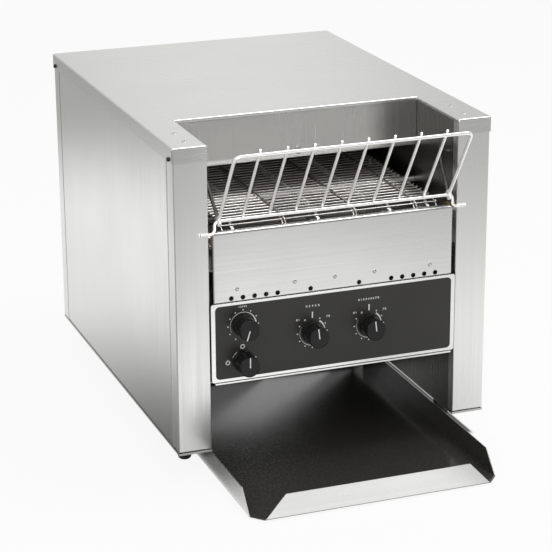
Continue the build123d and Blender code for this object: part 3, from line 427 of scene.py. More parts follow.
turned_steel = cloudy("turned_steel", (0.42, 0.42, 0.43), (0.56, 0.56, 0.57), 120, (0.25, 0.38),
                      0.00001, 1800, Metallic=1.0)
screw_steel = cloudy("screw_steel", (0.58, 0.57, 0.55), (0.72, 0.71, 0.69), 200, (0.2, 0.32),
                     0.00001, 1500, Metallic=1.0)
bronze = cloudy("bush_bronze", (0.42, 0.30, 0.15), (0.56, 0.42, 0.22), 90, (0.35, 0.5), 0.00002,
                1800, Metallic=1.0)
ceramic = cloudy("ceramic", (0.80, 0.77, 0.71), (0.88, 0.86, 0.81), 120, (0.3, 0.42), 0.00002, 900)
print("materials so far:", len(bpy.data.materials))

# %% [markdown]
# A few sheets change their shade along a line, and each of these lines is painted light or shade.
# The reflector under the belt is painted pale under the open recess, where light falls in, and
# painted dark below the front panel, where it lies in shade. The recess wall has a painted
# highlight along its foot, and the tray's lowest edge has a painted shadow where it meets the
# counter. One more mix in front of the main shader does this on the finished material.

# %% Painted light and shade along a line


def fade(material, axis, start, end, colour):
    """Up to start on that axis the finish has this colour, and from end on its own."""
    tree = material.node_tree
    shader = tree.nodes["Principled BSDF"]
    own = shader.inputs["Base Color"].links[0].from_socket
    place = add_node(tree, "ShaderNodeSeparateXYZ",
                     {0: add_node(tree, "ShaderNodeTexCoord").outputs["Object"]})
    mix = add_node(tree, "ShaderNodeMix",
                   {0: ramp(tree, place.outputs[axis], start, end, 0.0, 1.0), 7: own},
                   data_type="RGBA")
    mix.inputs[6].default_value = (*colour, 1)
    tree.links.new(mix.outputs[2], shader.inputs["Base Color"])


# Painted light under the open recess, then painted shade below the front panel; the heat tint
# itself stays.
fade(reflector_steel, "Y", at(0, 141, 0).y, at(0, 149, 0).y, (0.80, 0.78, 0.74))
fade(reflector_steel, "Y", at(0, 60, 0).y, at(0, 66, 0).y, (0.05, 0.045, 0.04))
# Painted shadow along the tray's lowest edge, where it meets the counter.
fade(tray_steel, "Z", 0.0026, 0.0040, (0.03, 0.03, 0.03))
# Painted highlight along the foot of the recess wall.
fade(hopper_steel, "Z", 0.4155, 0.4190, (0.98, 0.97, 0.95))
print("faded:", reflector_steel.name, tray_steel.name, hopper_steel.name)

# %% [markdown]
# Knobs and clips are moulded plastic, the control film is printed polyester with a satin skin,
# and the feet are rubber. None is a metal, so the main shader's plain sheen does, and only the
# roughness and the size of the grain tell them apart.

# %% Plastics, rubber, film and ink
knob_plastic = cloudy("knob_plastic", (0.007, 0.007, 0.007), (0.011, 0.011, 0.0105), 60,
                      (0.26, 0.3), 0.00001, 1700, Specular_IOR_Level=0.3)
film = cloudy("control_film", (0.024, 0.0225, 0.0205), (0.029, 0.0275, 0.0255), 12, (0.36, 0.42),
              0.00001, 2200)
ink = cloudy("white_ink", (0.93, 0.93, 0.92), (0.99, 0.99, 0.98), 300, (0.5, 0.6))
black_plastic = cloudy("black_plastic", (0.014, 0.014, 0.014), (0.024, 0.024, 0.024), 80,
                       (0.4, 0.52), 0.00002, 1300)
grey_plastic = cloudy("switch_plastic", (0.05, 0.05, 0.052), (0.075, 0.075, 0.078), 80,
                      (0.45, 0.55), 0.00002, 1200)
pale_plastic = cloudy("terminal_plastic", (0.62, 0.61, 0.57), (0.70, 0.69, 0.65), 80, (0.4, 0.5),
                      0.00002, 1200)
rubber = cloudy("foot_rubber", (0.012, 0.012, 0.012), (0.022, 0.021, 0.020), 150, (0.6, 0.75),
                0.00004, 900)
motor_paint = cloudy("motor_paint", (0.06, 0.065, 0.07), (0.10, 0.105, 0.11), 60, (0.35, 0.5),
                     0.00008, 350)
circuit_board = cloudy("circuit_board", (0.02, 0.10, 0.045), (0.04, 0.17, 0.08), 220, (0.3, 0.45),
                       0.00002, 800)
print("all materials:", len(bpy.data.materials))

# %% [markdown]
# The solid model's own parts carry most of the inside: walls, shafts, wheels, elements. Their
# meshes are right as they are, so each one only swaps its material slot for a real finish.

# %% Finishes for the parts that stay as they are
FINISHES = {
    wall_steel: ["left_inner_wall", "right_inner_wall"],
    pan_steel: ["base_pan", "heat_shield", "control_housing", "belt_support"],
    coating: ["rear_chute"],
    reflector_steel: ["top_reflector", "lower_reflector"],
    element_sheath: ["upper_elements", "lower_elements"],
    ceramic: ["element_insulators"],
    turned_steel: ["drive_shaft", "idler_shaft", "drive_belt_wheels", "idler_belt_wheels",
                   "shaft_chain_wheel", "motor_chain_wheel", "drive_chain"],
    bronze: ["shaft_bearings"],
    motor_paint: ["gear_motor"],
    grey_plastic: ["speed_control", "power_switch", "top_heat_control", "bottom_heat_control"],
    circuit_board: ["control_board"],
    black_plastic: ["fan_frame", "fan_rotor", "tray_glides"],
    pale_plastic: ["terminal_block"],
}
for finish, nodes in FINISHES.items():
    for name in nodes:
        for slot in frame["nodes"][name].material_slots:
            slot.material = finish
print("refinished nodes:", sum(len(nodes) for nodes in FINISHES.values()))

# %% [markdown]
# ## From a drawing to a finished piece
# Each piece below is drawn in its own way, but all of them end alike. The result of the modifiers
# becomes plain mesh, its faces are smoothed up to the real edges, and the piece is tied to the
# body that it moves with and to the solids that it stands for. One function does all of it, so
# no piece can miss a step.

# %% Tools that finish a piece


def plain(piece):
    """The piece with its modifiers made real, still a free object."""
    graph = bpy.context.evaluated_depsgraph_get()
    mesh = bpy.data.meshes.new_from_object(piece.evaluated_get(graph))
    piece.modifiers.clear()
    piece.data = mesh
    return piece


def keep(piece, body, stands_for=(), smooth=35):
    """Turns a piece's modifiers into plain mesh, smooths it and hands it to the frame."""
    mesh = plain(piece).data
    mesh.polygons.foreach_set("use_smooth", [True] * len(mesh.polygons))
    mesh.set_sharp_from_angle(angle=math.radians(smooth))
    piece.modifiers.new("flat_faces", "WEIGHTED_NORMAL").keep_sharp = True
    plain(piece).data.name = piece.name
    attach(piece, body)
    if stands_for:
        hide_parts(*stands_for)
    return piece


def discard(*things):
    """Removes helper objects that have done their work."""
    for thing in things:
        bpy.data.objects.remove(thing)


def as_object(name, shape, *materials):
    """A linked object from a bmesh, with its materials."""
    mesh = bpy.data.meshes.new(name)
    shape.to_mesh(mesh)
    shape.free()
    piece = bpy.data.objects.new(name, mesh)
    bpy.context.collection.objects.link(piece)
    for material in materials:
        mesh.materials.append(material)
    return piece


print("finishing tools ready")

# %% [markdown]
# ## Folded sheet
# A press brake folds a flat blank along straight lines. In Blender the flat panels come first,
# joined along their shared edges. Bevelling just those edges gives the folds their radius, a
# Solidify modifier gives the sheet its thickness inwards, and a last tiny bevel breaks the cut
# edges so that they catch the light as real ones do.

# %% Tools for folded sheet


def fold(shape, radius, chosen):
    """Bevels the sharp edges that are chosen into folds of that radius in millimetres."""
    folds = [line for line in shape.edges if len(line.link_faces) == 2
             and line.calc_face_angle() > 0.5 and chosen(line)]
    bmesh.ops.bevel(shape, geom=folds, offset=radius * MM, segments=5, profile=0.5,
                    affect="EDGES", clamp_overlap=True)


def folded_sheet(name, panels, *materials, thickness=1.2, bend=2.0, edge=0.2, wide=None):
    """Flat panels, each a list of points and its outward side, folded where they meet.

    wide = (height, bend) gives the folds at that height a radius of their own.
    """
    shape = bmesh.new()
    for points, outward in panels:
        face = shape.faces.new([shape.verts.new(at(*point)) for point in points])
        face.normal_update()
        if face.normal.dot(Vector(outward)) < 0:
            face.normal_flip()
    bmesh.ops.remove_doubles(shape, verts=shape.verts, dist=1e-6)
    if wide:
        height, radius = wide
        fold(shape, radius, lambda line: all(abs(vert.co.z - height * MM) < 1e-6
                                             for vert in line.verts))
    fold(shape, bend, lambda line: True)
    piece = as_object(name, shape, *materials)
    wall = piece.modifiers.new("wall", "SOLIDIFY")
    wall.thickness = thickness * MM
    wall.offset = -1
    wall.use_even_offset = True
    if len(materials) > 1:
        wall.material_offset = 1
    soften(piece, edge)
    return piece


def soften(piece, width, segments=2, angle=50):
    """A small bevel on the sharp edges that are left."""
    bevel = piece.modifiers.new("edge", "BEVEL")
    bevel.width = width * MM
    bevel.segments = segments
    bevel.limit_method = "ANGLE"
    bevel.angle_limit = math.radians(angle)


print("sheet tools ready")

# %% [markdown]
# The cover is one blank: a top with a notch for the loading recess, a deep edge folded down all
# round the outside and a shallow one round the notch. The notch makes its top an eight-cornered
# face, which Blender handles as one polygon.

# %% Top cover
EDGE_LOW, LIP_LOW = TOP - 22, TOP - 5
cover = folded_sheet("cover", [
    ([(-HALF, 0, TOP), (-INNER, 0, TOP), (-INNER, RECESS, TOP), (INNER, RECESS, TOP),
      (INNER, 0, TOP), (HALF, 0, TOP), (HALF, DEPTH, TOP), (-HALF, DEPTH, TOP)], (0, 0, 1)),
    ([(-HALF, 0, TOP), (-HALF, DEPTH, TOP), (-HALF, DEPTH, EDGE_LOW), (-HALF, 0, EDGE_LOW)],
     (-1, 0, 0)),
    ([(HALF, 0, TOP), (HALF, DEPTH, TOP), (HALF, DEPTH, EDGE_LOW), (HALF, 0, EDGE_LOW)],
     (1, 0, 0)),
    ([(-HALF, DEPTH, TOP), (HALF, DEPTH, TOP), (HALF, DEPTH, EDGE_LOW), (-HALF, DEPTH, EDGE_LOW)],
     (0, 1, 0)),
    ([(-HALF, 0, TOP), (-INNER, 0, TOP), (-INNER, 0, EDGE_LOW), (-HALF, 0, EDGE_LOW)],
     (0, -1, 0)),
    ([(HALF, 0, TOP), (INNER, 0, TOP), (INNER, 0, EDGE_LOW), (HALF, 0, EDGE_LOW)], (0, -1, 0)),
    ([(-INNER, 0, TOP), (-INNER, RECESS, TOP), (-INNER, RECESS, LIP_LOW), (-INNER, 0, LIP_LOW)],
     (1, 0, 0)),
    ([(INNER, 0, TOP), (INNER, RECESS, TOP), (INNER, RECESS, LIP_LOW), (INNER, 0, LIP_LOW)],
     (-1, 0, 0)),
    ([(-INNER, RECESS, TOP), (INNER, RECESS, TOP), (INNER, RECESS, LIP_LOW),
      (-INNER, RECESS, LIP_LOW)], (0, -1, 0)),
], cover_steel, bend=1.6, wide=(TOP, 2.0))
keep(cover, "casing", ["top_cover"])
print("cover:", len(cover.data.polygons), "faces")

# %% [markdown]
# The side of the casing is three sheets: the front column's return, the side panel and the back
# panel's return, with a narrow groove between neighbours. Making them as separate folded sheets
# gives the groove and its shadow without drawing them. Each sheet is drawn for the right side
# only, and changing the sign of every x gives the left one.

# %% Columns and side panels
RETURN, COLUMN_FOOT, SEAM, SIDE_RETURN = 27, 15, 2, 10


def mirrored_panels(panels, side):
    """Panels drawn for the right side, put on the side that is -1 for left and 1 for right."""
    return [([(side * x, y, z) for x, y, z in points], (side * outward[0], *outward[1:]))
            for points, outward in panels]


def make_column(name, side):
    """A front column: face, side return, inner return and closed foot."""
    step_in, inner_top = INNER + 1.5, TOP - 5.3
    return folded_sheet(name, mirrored_panels([
        ([(INNER, FACE, LOW), (SIDE, FACE, LOW), (SIDE, FACE, HIGH), (step_in, FACE, HIGH),
          (step_in, FACE, inner_top), (INNER, FACE, inner_top)], (0, -1, 0)),
        ([(SIDE, FACE, LOW), (SIDE, FACE + COLUMN_FOOT, LOW), (SIDE, FACE + RETURN, LOW),
          (SIDE, FACE + RETURN, HIGH), (SIDE, FACE, HIGH)], (1, 0, 0)),
        ([(INNER, FACE, LOW), (INNER, FACE + COLUMN_FOOT, LOW),
          (INNER, FACE + COLUMN_FOOT, inner_top), (INNER, FACE, inner_top)], (-1, 0, 0)),
        ([(INNER, FACE, LOW), (SIDE, FACE, LOW), (SIDE, FACE + COLUMN_FOOT, LOW),
          (INNER, FACE + COLUMN_FOOT, LOW)], (0, 0, -1)),
    ], side), column_steel)


def make_side(name, side):
    """A side panel: a face with four narrow returns."""
    first_y, last_y, inside = FACE + RETURN + SEAM, REAR - RETURN - SEAM, SIDE - SIDE_RETURN
    face = [(SIDE, first_y, LOW), (SIDE, last_y, LOW), (SIDE, last_y, HIGH), (SIDE, first_y, HIGH)]
    panels = [(face, (1, 0, 0))]
    for number, outward in enumerate([(0, 0, -1), (0, 1, 0), (0, 0, 1), (0, -1, 0)]):
        first, second = face[number], face[(number + 1) % 4]
        panels.append(([first, second, (inside, *second[1:]), (inside, *first[1:])], outward))
    return folded_sheet(name, mirrored_panels(panels, side), side_steel, bend=1.5)


for side, word in ((-1, "left"), (1, "right")):
    keep(make_column(f"column_{word}", side), "casing", [f"{word}_front_column"])
    keep(make_side(f"side_{word}", side), "casing", [f"{word}_side_panel"])
print("columns and sides made")

# %% [markdown]
# ## Geometry Nodes for what repeats
# Holes, screws, slats and belt wires all repeat. A node tree that copies one part to a set of
# points does the work once. Each tree below has named inputs, makes its copies real and sets
# their material, and its result is then stored as plain mesh.

# %% A tree with named inputs


class Tree:
    """A Geometry Nodes tree with named inputs."""

    def __init__(self, name, **inputs):
        self.group = bpy.data.node_groups.new(name, "GeometryNodeTree")
        self.group.interface.new_socket("Geometry", in_out="OUTPUT",
                                        socket_type="NodeSocketGeometry")
        for label, kind in inputs.items():
            self.group.interface.new_socket(label, in_out="INPUT",
                                            socket_type="NodeSocket" + kind)
        self.inputs = self.add("NodeGroupInput").outputs

    def add(self, kind, inputs=None, **settings):
        return add_node(self.group, kind, inputs, **settings)

    def part(self, name):
        """The geometry of the object given to an input."""
        return self.add("GeometryNodeObjectInfo", {"Object": self.inputs[name]},
                        transform_space="RELATIVE").outputs["Geometry"]

    def end(self, geometry):
        """Copies made real, given their material and sent to the output."""
        real = self.add("GeometryNodeRealizeInstances", {"Geometry": geometry})
        painted = self.add("GeometryNodeSetMaterial", {"Geometry": real.outputs[0],
                                                       "Material": self.inputs["Material"]})
        self.add("NodeGroupOutput", {"Geometry": painted.outputs[0]})
        return self.group


def grow(name, group, **values):
    """Runs a tree with its inputs and returns the result as a plain mesh object."""
    host = bpy.data.objects.new(name, bpy.data.meshes.new(name))
    bpy.context.collection.objects.link(host)
    nodes = host.modifiers.new("nodes", "NODES")
    nodes.node_group = group
    for socket in group.interface.items_tree:
        if socket.item_type == "SOCKET" and socket.in_out == "INPUT" and socket.name in values:
            nodes[socket.identifier] = values[socket.name]
    plain(host).data.name = name
    return host


print("tree helpers ready")

# %% [markdown]
# A tree needs a part to copy and the points where its copies go. Most small parts are round, so
# they are turned from a profile, as on a lathe. The points are a mesh without faces, and it also
# carries the turn of the copies.

# %% Turned parts and their places


def places_mesh(points, turn=(0, 0, 0)):
    """A mesh of loose points that says where copies go and how they are turned."""
    mesh = bpy.data.meshes.new("places")
    mesh.from_pydata([tuple(point) for point in points], [], [])
    turns = mesh.attributes.new("turn", "FLOAT_VECTOR", "POINT")
    turns.data.foreach_set("vector", list(turn) * len(points))
    marker = bpy.data.objects.new("places", mesh)
    bpy.context.collection.objects.link(marker)
    return marker


def lathe(profile, steps=32, axis="Z"):
    """A bmesh turned round an axis from (radius, height) pairs in millimetres."""
    shape = bmesh.new()
    rings = []
    for radius, height in profile:
        if radius < 1e-6:
            rings.append([shape.verts.new((0, 0, height * MM))])
            continue
        rings.append([shape.verts.new((radius * MM * math.cos(turn), radius * MM * math.sin(turn),
                                       height * MM))
                      for turn in (math.tau * step / steps for step in range(steps))])
    for low, high in zip(rings, rings[1:]):
        for step in range(steps):
            after = (step + 1) % steps
            corners = [low[step % len(low)], low[after % len(low)],
                       high[after % len(high)], high[step % len(high)]]
            unique = list(dict.fromkeys(corners))
            if len(unique) > 2:
                shape.faces.new(unique)
    bmesh.ops.recalc_face_normals(shape, faces=shape.faces)
    if axis == "Y":
        shape.transform(Matrix.Rotation(math.radians(90), 4, "X"))
    return shape


print("part helpers ready")

# %% [markdown]
# Holes need the opposite of a copied part. This tree copies a punch to every point and takes all
# copies out of the sheet in one Boolean step. The exact solver is the slower one, but it leaves
# clean rims on thin sheet.

# %% Punch holes in a sheet


def hole_tree():
    """Cuts a copy of a punch out of a sheet at every point of a mesh."""
    tree = Tree("punched_sheet", Sheet="Object", Punch="Object", Places="Object",
                Material="Material")
    copies = tree.add("GeometryNodeInstanceOnPoints",
                      {"Points": tree.part("Places"), "Instance": tree.part("Punch")})
    punches = tree.add("GeometryNodeRealizeInstances", {"Geometry": copies.outputs[0]})
    cut = tree.add("GeometryNodeMeshBoolean", {"Mesh 1": tree.part("Sheet")},
                   operation="DIFFERENCE", solver="EXACT")
    tree.group.links.new(punches.outputs[0], cut.inputs["Mesh 2"])
    return tree.end(cut.outputs[0])


def punched(name, sheet, places, radius):
    """A sheet with round holes through its thickness, front to back."""
    punch = as_object("punch", lathe([(0, -20), (radius, -20), (radius, 20), (0, 20)], 24))
    punch.data.transform(Matrix.Rotation(math.radians(90), 4, "X"))
    spots = places_mesh(places)
    result = grow(name, HOLES, Sheet=sheet, Punch=punch, Places=spots,
                  Material=sheet.data.materials[0])
    discard(punch, spots, sheet)
    return result


HOLES = hole_tree()
print("tree:", HOLES.name)

# %% [markdown]
# The front sheet sits between the columns and folds back at its top and its sides. Twelve round
# vents are punched in a row: each is a real hole, cut by the tree, and so it shows its depth.

# %% Front sheet with its vents
PANEL_LOW = limits("front_panel")[0][2]
PANEL, PANEL_BACK, PANEL_TOP = limits("front_panel")[1]
VENT_HEIGHT, VENT_RADIUS = 261, 3.5
front = folded_sheet("front", [
    ([(-PANEL, FACE, PANEL_LOW), (PANEL, FACE, PANEL_LOW), (PANEL, FACE, PANEL_TOP),
      (-PANEL, FACE, PANEL_TOP)], (0, -1, 0)),
    ([(-PANEL, FACE, PANEL_TOP), (PANEL, FACE, PANEL_TOP), (PANEL, PANEL_BACK, PANEL_TOP),
      (-PANEL, PANEL_BACK, PANEL_TOP)], (0, 0, 1)),
    ([(-PANEL, FACE, PANEL_LOW), (-PANEL, FACE, PANEL_TOP), (-PANEL, PANEL_BACK, PANEL_TOP),
      (-PANEL, PANEL_BACK, PANEL_LOW)], (-1, 0, 0)),
    ([(PANEL, FACE, PANEL_LOW), (PANEL, FACE, PANEL_TOP), (PANEL, PANEL_BACK, PANEL_TOP),
      (PANEL, PANEL_BACK, PANEL_LOW)], (1, 0, 0)),
], front_steel, bend=1.6, wide=(PANEL_TOP, 3.6))
VENTS = [side * x for side in (-1, 1) for x in (36.5, 85.5, 102.5, 119.5, 136.5, 153.5)]
front = punched("front", plain(front), [at(x, FACE, VENT_HEIGHT) for x in VENTS], VENT_RADIUS)
keep(front, "casing", ["front_panel"])
print("front:", len(front.data.polygons), "faces,", len(VENTS), "vents")

# %% [markdown]
# Below the control panel the sheet comes forward as a small lip, three millimetres deep and as
# high. It catches the light as a bright line, so it is a folded sheet of its own.

# %% Lip under the control panel
LIP_BACK, LIP_FRONT, LIP_BOTTOM, LIP_TOP = 1.4, -1.6, 136.6, 139.6
lip = folded_sheet("front_lip", [
    ([(-PANEL, LIP_BACK, LIP_BOTTOM), (PANEL, LIP_BACK, LIP_BOTTOM),
      (PANEL, LIP_FRONT, LIP_BOTTOM), (-PANEL, LIP_FRONT, LIP_BOTTOM)], (0, 0, -1)),
    ([(-PANEL, LIP_FRONT, LIP_BOTTOM), (PANEL, LIP_FRONT, LIP_BOTTOM),
      (PANEL, LIP_FRONT, LIP_TOP), (-PANEL, LIP_FRONT, LIP_TOP)], (0, -1, 0)),
], border_steel, thickness=1.0, bend=0.8)
keep(lip, "casing")
print("lip:", len(lip.data.polygons), "faces")

# %% [markdown]
# ## Control panel
# A bright pan holds a dark film whose corners are rounded. Behind the pan lies a thin black plate
# whose rim shows round the pan as a dark line: painted shade, for the shadow line between the pan
# and the front sheet. All three are flat outlines in the front plane, so one function draws a
# rounded rectangle and gives it a thickness and soft edges.

# %% Pan, painted shadow strip and film


def rounded_plate(name, half, z, material, radius, y, depth, edge, segments=3):
    """A rounded rectangle standing in the front plane, its face at y and its back at y + depth."""
    shape = bmesh.new()
    outline = []
    for centre_x, centre_z, first in ((half - radius, z[1] - radius, 0),
                                      (radius - half, z[1] - radius, 90),
                                      (radius - half, z[0] + radius, 180),
                                      (half - radius, z[0] + radius, 270)):
        for step in range(9):
            turn = math.radians(first + 90 * step / 8)
            outline.append(shape.verts.new(at(centre_x + radius * math.cos(turn), y,
                                              centre_z + radius * math.sin(turn))))
    face = shape.faces.new(outline)
    face.normal_update()
    if face.normal.y > 0:
        face.normal_flip()
    piece = as_object(name, shape, material)
    wall = piece.modifiers.new("wall", "SOLIDIFY")
    wall.thickness = depth * MM
    wall.offset = -1
    soften(piece, edge, segments)
    return piece


FILM, FILM_TOP = limits("control_overlay")[1][::2]
FILM_LOW = limits("control_overlay")[0][2]
pan = rounded_plate("control_pan", 184, (140.4, 255.6), border_steel, radius=3.5, y=-0.5,
                    depth=0.7, edge=0.15)
keep(pan, "casing", ["control_panel"])
# Painted shade: a black plate behind the pan whose rim shows as the shadow line round it.
shadow_strip = rounded_plate("control_seal", 184.4, (140.6, 256.3), black_plastic, radius=3.5, y=0.2,
                     depth=1.3, edge=0.1)
keep(shadow_strip, "casing")
plate = rounded_plate("control_film_plate", FILM, (FILM_LOW, FILM_TOP), film, radius=6, y=-0.85,
                      depth=0.5, edge=0.15, segments=2)
keep(plate, "casing", ["control_overlay"])
print("control panel: film", 2 * FILM, "x", round(FILM_TOP - FILM_LOW, 1), "mm")

# %% [markdown]
# The scales are printed in white: rows of dots, arcs that thicken towards high, short marks for
# off, a ring and a power sign. Each mark is drawn flat in the film's plane and then given a sliver
# of thickness, so that it is real geometry. Words are left out, and plain numbers stand in their
# places.

# %% Printing tools
INK_Y = -0.86
drawing = bmesh.new()


def flat(points):
    """A printed patch from (x, z) points."""
    face = drawing.faces.new([drawing.verts.new(at(x, INK_Y, z)) for x, z in points])
    face.normal_update()
    if face.normal.y > 0:
        face.normal_flip()


def polar(centre, radius, angle):
    """A point round a centre, its angle in degrees from the right."""
    turn = math.radians(angle)
    return centre[0] + radius * math.cos(turn), centre[1] + radius * math.sin(turn)


def dot(centre, radius):
    """A round patch."""
    flat([polar(centre, radius, 30 * step) for step in range(12)])


def arc(centre, radius, first, last, thin, thick, steps=24):
    """A band round a centre whose width grows from thin to thick."""
    for step in range(steps):
        ends = []
        for part in (step, step + 1):
            angle = first + (last - first) * part / steps
            width = (thin + (thick - thin) * part / steps) / 2
            ends.append((polar(centre, radius - width, angle),
                         polar(centre, radius + width, angle)))
        flat([ends[0][0], ends[0][1], ends[1][1], ends[1][0]])


def bar(x, z, width, height):
    """An upright patch."""
    flat([(x - width / 2, z - height / 2), (x + width / 2, z - height / 2),
          (x + width / 2, z + height / 2), (x - width / 2, z + height / 2)])


print("printing tools ready")

# %% [markdown]
# A scale is laid out round its knob, by a distance from the knob's centre and an angle. The two
# heat knobs have the same scale, so one loop prints both, and the places of all four knobs are
# named here because the knobs themselves need them too.

# %% Printed scales
SPEED, POWER = (-137.5, 221.0), (-137.5, 168.0)
TOP_HEAT, BOTTOM_HEAT = (-34.8, 196.5), (51.0, 196.5)
MARKS, BAND = 22.4, 19
OFF_MARK, POWER_MARK, MARK_RING = (-138.6, 189.6), (-160.6, 168.1), 2.8
for angle in range(0, 241, 30):
    dot(polar(SPEED, MARKS, angle), 0.95)
for step in range(26):
    dot(polar(SPEED, BAND, 208 - 5.2 * step), 0.36 + 0.014 * step)
arc(SPEED, BAND, 80, 8, 0.5, 2.2)
for heat in (TOP_HEAT, BOTTOM_HEAT):
    for angle in (150, 180, 210, 240, 270, 300, 330, 0, 30):
        dot(polar(heat, MARKS, angle), 1.0)
    arc(polar(heat, MARKS, 120), 1.1, 0, 360, 0.6, 0.6, 12)
    dot(polar(heat, MARKS, 60), 1.1)
    for step in range(30):
        dot(polar(heat, BAND, 152 + 5 * step), 0.32 + 0.017 * step)
    arc(heat, BAND, 12, 56, 1.5, 2.3)
    bar(heat[0], 222.5, 1.8, 9)
arc(OFF_MARK, MARK_RING, 0, 360, 1.3, 1.3)
arc(POWER_MARK, MARK_RING, 120, 420, 1.3, 1.3)
bar(POWER_MARK[0], 170.6, 1.2, 3.4)
dot((-119.4, 171.3), 1.1)
arc(POWER, 17.1, 158, 124, 0.4, 0.8)
prints = as_object("scale_prints", drawing, ink)
print("scale marks:", len(prints.data.polygons), "patches")

# %% [markdown]
# The figures are Blender's own text. It is turned into a mesh first and then moved to its place,
# so that it joins the other marks in one piece, which a Solidify modifier gives the thickness of
# a layer of ink.

# %% Printed figures


def add_meshes(piece, *meshes):
    """Adds more meshes to a piece's own."""
    whole = bmesh.new()
    whole.from_mesh(piece.data)
    for mesh in meshes:
        whole.from_mesh(mesh)
    whole.to_mesh(piece.data)
    whole.free()


def mesh_from(name, drawing):
    """The mesh of a curve or a text, with its modifiers and thickness made real."""
    drawn = bpy.data.objects.new(name, drawing)
    bpy.context.collection.objects.link(drawn)
    graph = bpy.context.evaluated_depsgraph_get()
    mesh = bpy.data.meshes.new_from_object(drawn.evaluated_get(graph))
    discard(drawn)
    return mesh


def number(text, x, z, height, stretch):
    """Plain figures in the film's plane, centred on (x, z)."""
    font = bpy.data.curves.new("figures", "FONT")
    font.body = text
    font.size = height * 1.4 * MM
    font.offset = 0.13 * MM
    font.align_x, font.align_y = "CENTER", "CENTER"
    font.space_character = stretch
    mesh = mesh_from("figures", font)
    mesh.transform(Matrix.Translation(at(x, INK_Y, z)) @ Matrix.Rotation(math.pi / 2, 4, "X"))
    return mesh


FIGURES = (("1 2 3 4 5", -138, 248.2, 2.4, 1.0), ("0 2 4 6 8", -34.5, 235.8, 3.0, 1.3),
           ("0 1 2 3 4 5 6 7 8", 50.3, 235.2, 3.0, 1.1), ("0 1", -56.5, 217.2, 3.0, 1.0),
           ("7 8", -11.3, 217.6, 3.0, 1.0), ("0 1", 29.5, 217.0, 3.0, 1.0),
           ("7 8", 74.5, 217.0, 3.0, 1.0))
add_meshes(prints, *(number(*figures) for figures in FIGURES))
layer = prints.modifiers.new("layer", "SOLIDIFY")
layer.thickness = 0.05 * MM
layer.offset = 1
keep(prints, "casing")
print("scale prints:", len(prints.data.polygons), "faces")

# %% [markdown]
# ## Knobs
# Each knob is turned: a foot ring, a drum with a tiny draft and a soft rim round a flat face.
# Its white line is a raised bar in the same mesh with a second material. Every knob rides on a
# body of its own, because it turns.

# %% Turn the knobs
KNOB_SEAT, KNOB_FACE = -1.3, 27.9
LINE_MIDDLE, LINE_SIZE = 6.7, (14.6, 0.5, 1.5)


def make_knob(name, centre, pointer, body, node):
    """A knob on the control film, its line at an angle counted from the right."""
    shape = lathe([(0, 0), (15.2, 0), (15.5, 0.3), (15.5, 2.6), (15.1, 3.0), (14.95, 3.4),
                   (14.8, 26.2), (14.5, 27.2), (13.7, 27.8), (13.0, KNOB_FACE), (0, KNOB_FACE)],
                  64, "Y")
    knob = as_object(name, shape, knob_plastic, ink)
    knob.data.transform(Matrix.Translation(at(centre[0], KNOB_SEAT, centre[1])))
    place = (Matrix.Translation(at(centre[0], KNOB_SEAT - KNOB_FACE, centre[1]))
             @ Matrix.Rotation(-math.radians(pointer), 4, "Y")
             @ Matrix.Translation((LINE_MIDDLE * MM, 0, 0))
             @ Matrix.Diagonal((*(size * MM for size in LINE_SIZE), 1)))
    line = bmesh.new()
    bmesh.ops.create_cube(line, size=1, matrix=place)
    for face in line.faces:
        face.material_index = 1
    line_mesh = bpy.data.meshes.new("line")
    line.to_mesh(line_mesh)
    line.free()
    add_meshes(knob, line_mesh)
    return keep(knob, body, [node], smooth=40)


make_knob("speed_dial_knob", SPEED, -108, "speed_dial", "speed_knob")
make_knob("power_dial_knob", POWER, 90, "power_dial", "power_knob")
make_knob("top_heat_dial_knob", TOP_HEAT, 97, "top_heat_dial", "top_heat_knob")
make_knob("bottom_heat_dial_knob", BOTTOM_HEAT, 97, "bottom_heat_dial", "bottom_heat_knob")
print("knobs made")

# %% [markdown]
# ## Wire
# Bent wire is a curve with a round section. The path is a few corner points, and a helper swaps
# each corner for an arc, as a bending pin does. The loading rack is made of such wire: a frame,
# eight slats on it and a foot bar whose hooked ends rest in front of the columns.

# %% Bent wire tools


def rounded_path(points, radius, steps=8):
    """The points with each inner corner replaced by an arc."""
    path = [Vector(points[0])]
    for before, corner, after in zip(points, points[1:], points[2:]):
        corner = Vector(corner)
        back, ahead = (Vector(before) - corner).normalized(), (Vector(after) - corner).normalized()
        half = back.angle(ahead) / 2
        reach = radius / math.tan(half)
        middle = corner + (back + ahead).normalized() * radius / math.sin(half)
        start, end = corner + back * reach - middle, corner + ahead * reach - middle
        sweep = start.angle(end)
        for step in range(steps + 1):
            part = step / steps
            path.append(middle + (start * math.sin((1 - part) * sweep)
                                  + end * math.sin(part * sweep)) / math.sin(sweep))
    path.append(Vector(points[-1]))
    return path


def wire(name, paths, diameter, material, closed=False, sides=3):
    """Wires through lists of points in metres, as one mesh."""
    curve = bpy.data.curves.new(name, "CURVE")
    curve.dimensions = "3D"
    curve.bevel_depth = diameter / 2 * MM
    curve.bevel_resolution = sides
    curve.use_fill_caps = True
    for path in paths:
        spline = curve.splines.new("POLY")
        spline.points.add(len(path) - 1)
        for point, place in zip(spline.points, path):
            point.co = (*place, 1)
        spline.use_cyclic_u = closed
    piece = bpy.data.objects.new(name, mesh_from(name, curve))
    bpy.context.collection.objects.link(piece)
    piece.data.materials.clear()
    piece.data.materials.append(material)
    return piece


print("wire tools ready")

# %% [markdown]
# The rack's frame leans forward from its foot bar. At the foot its wire ends in two eyes round the
# bar, and from there two arms run back to the pivots in the inner walls. The arms are the rack's
# wire painted darker, as painted shade inside the recess. All of them are wires through a few
# points along the slope, so the slope is worked out first.

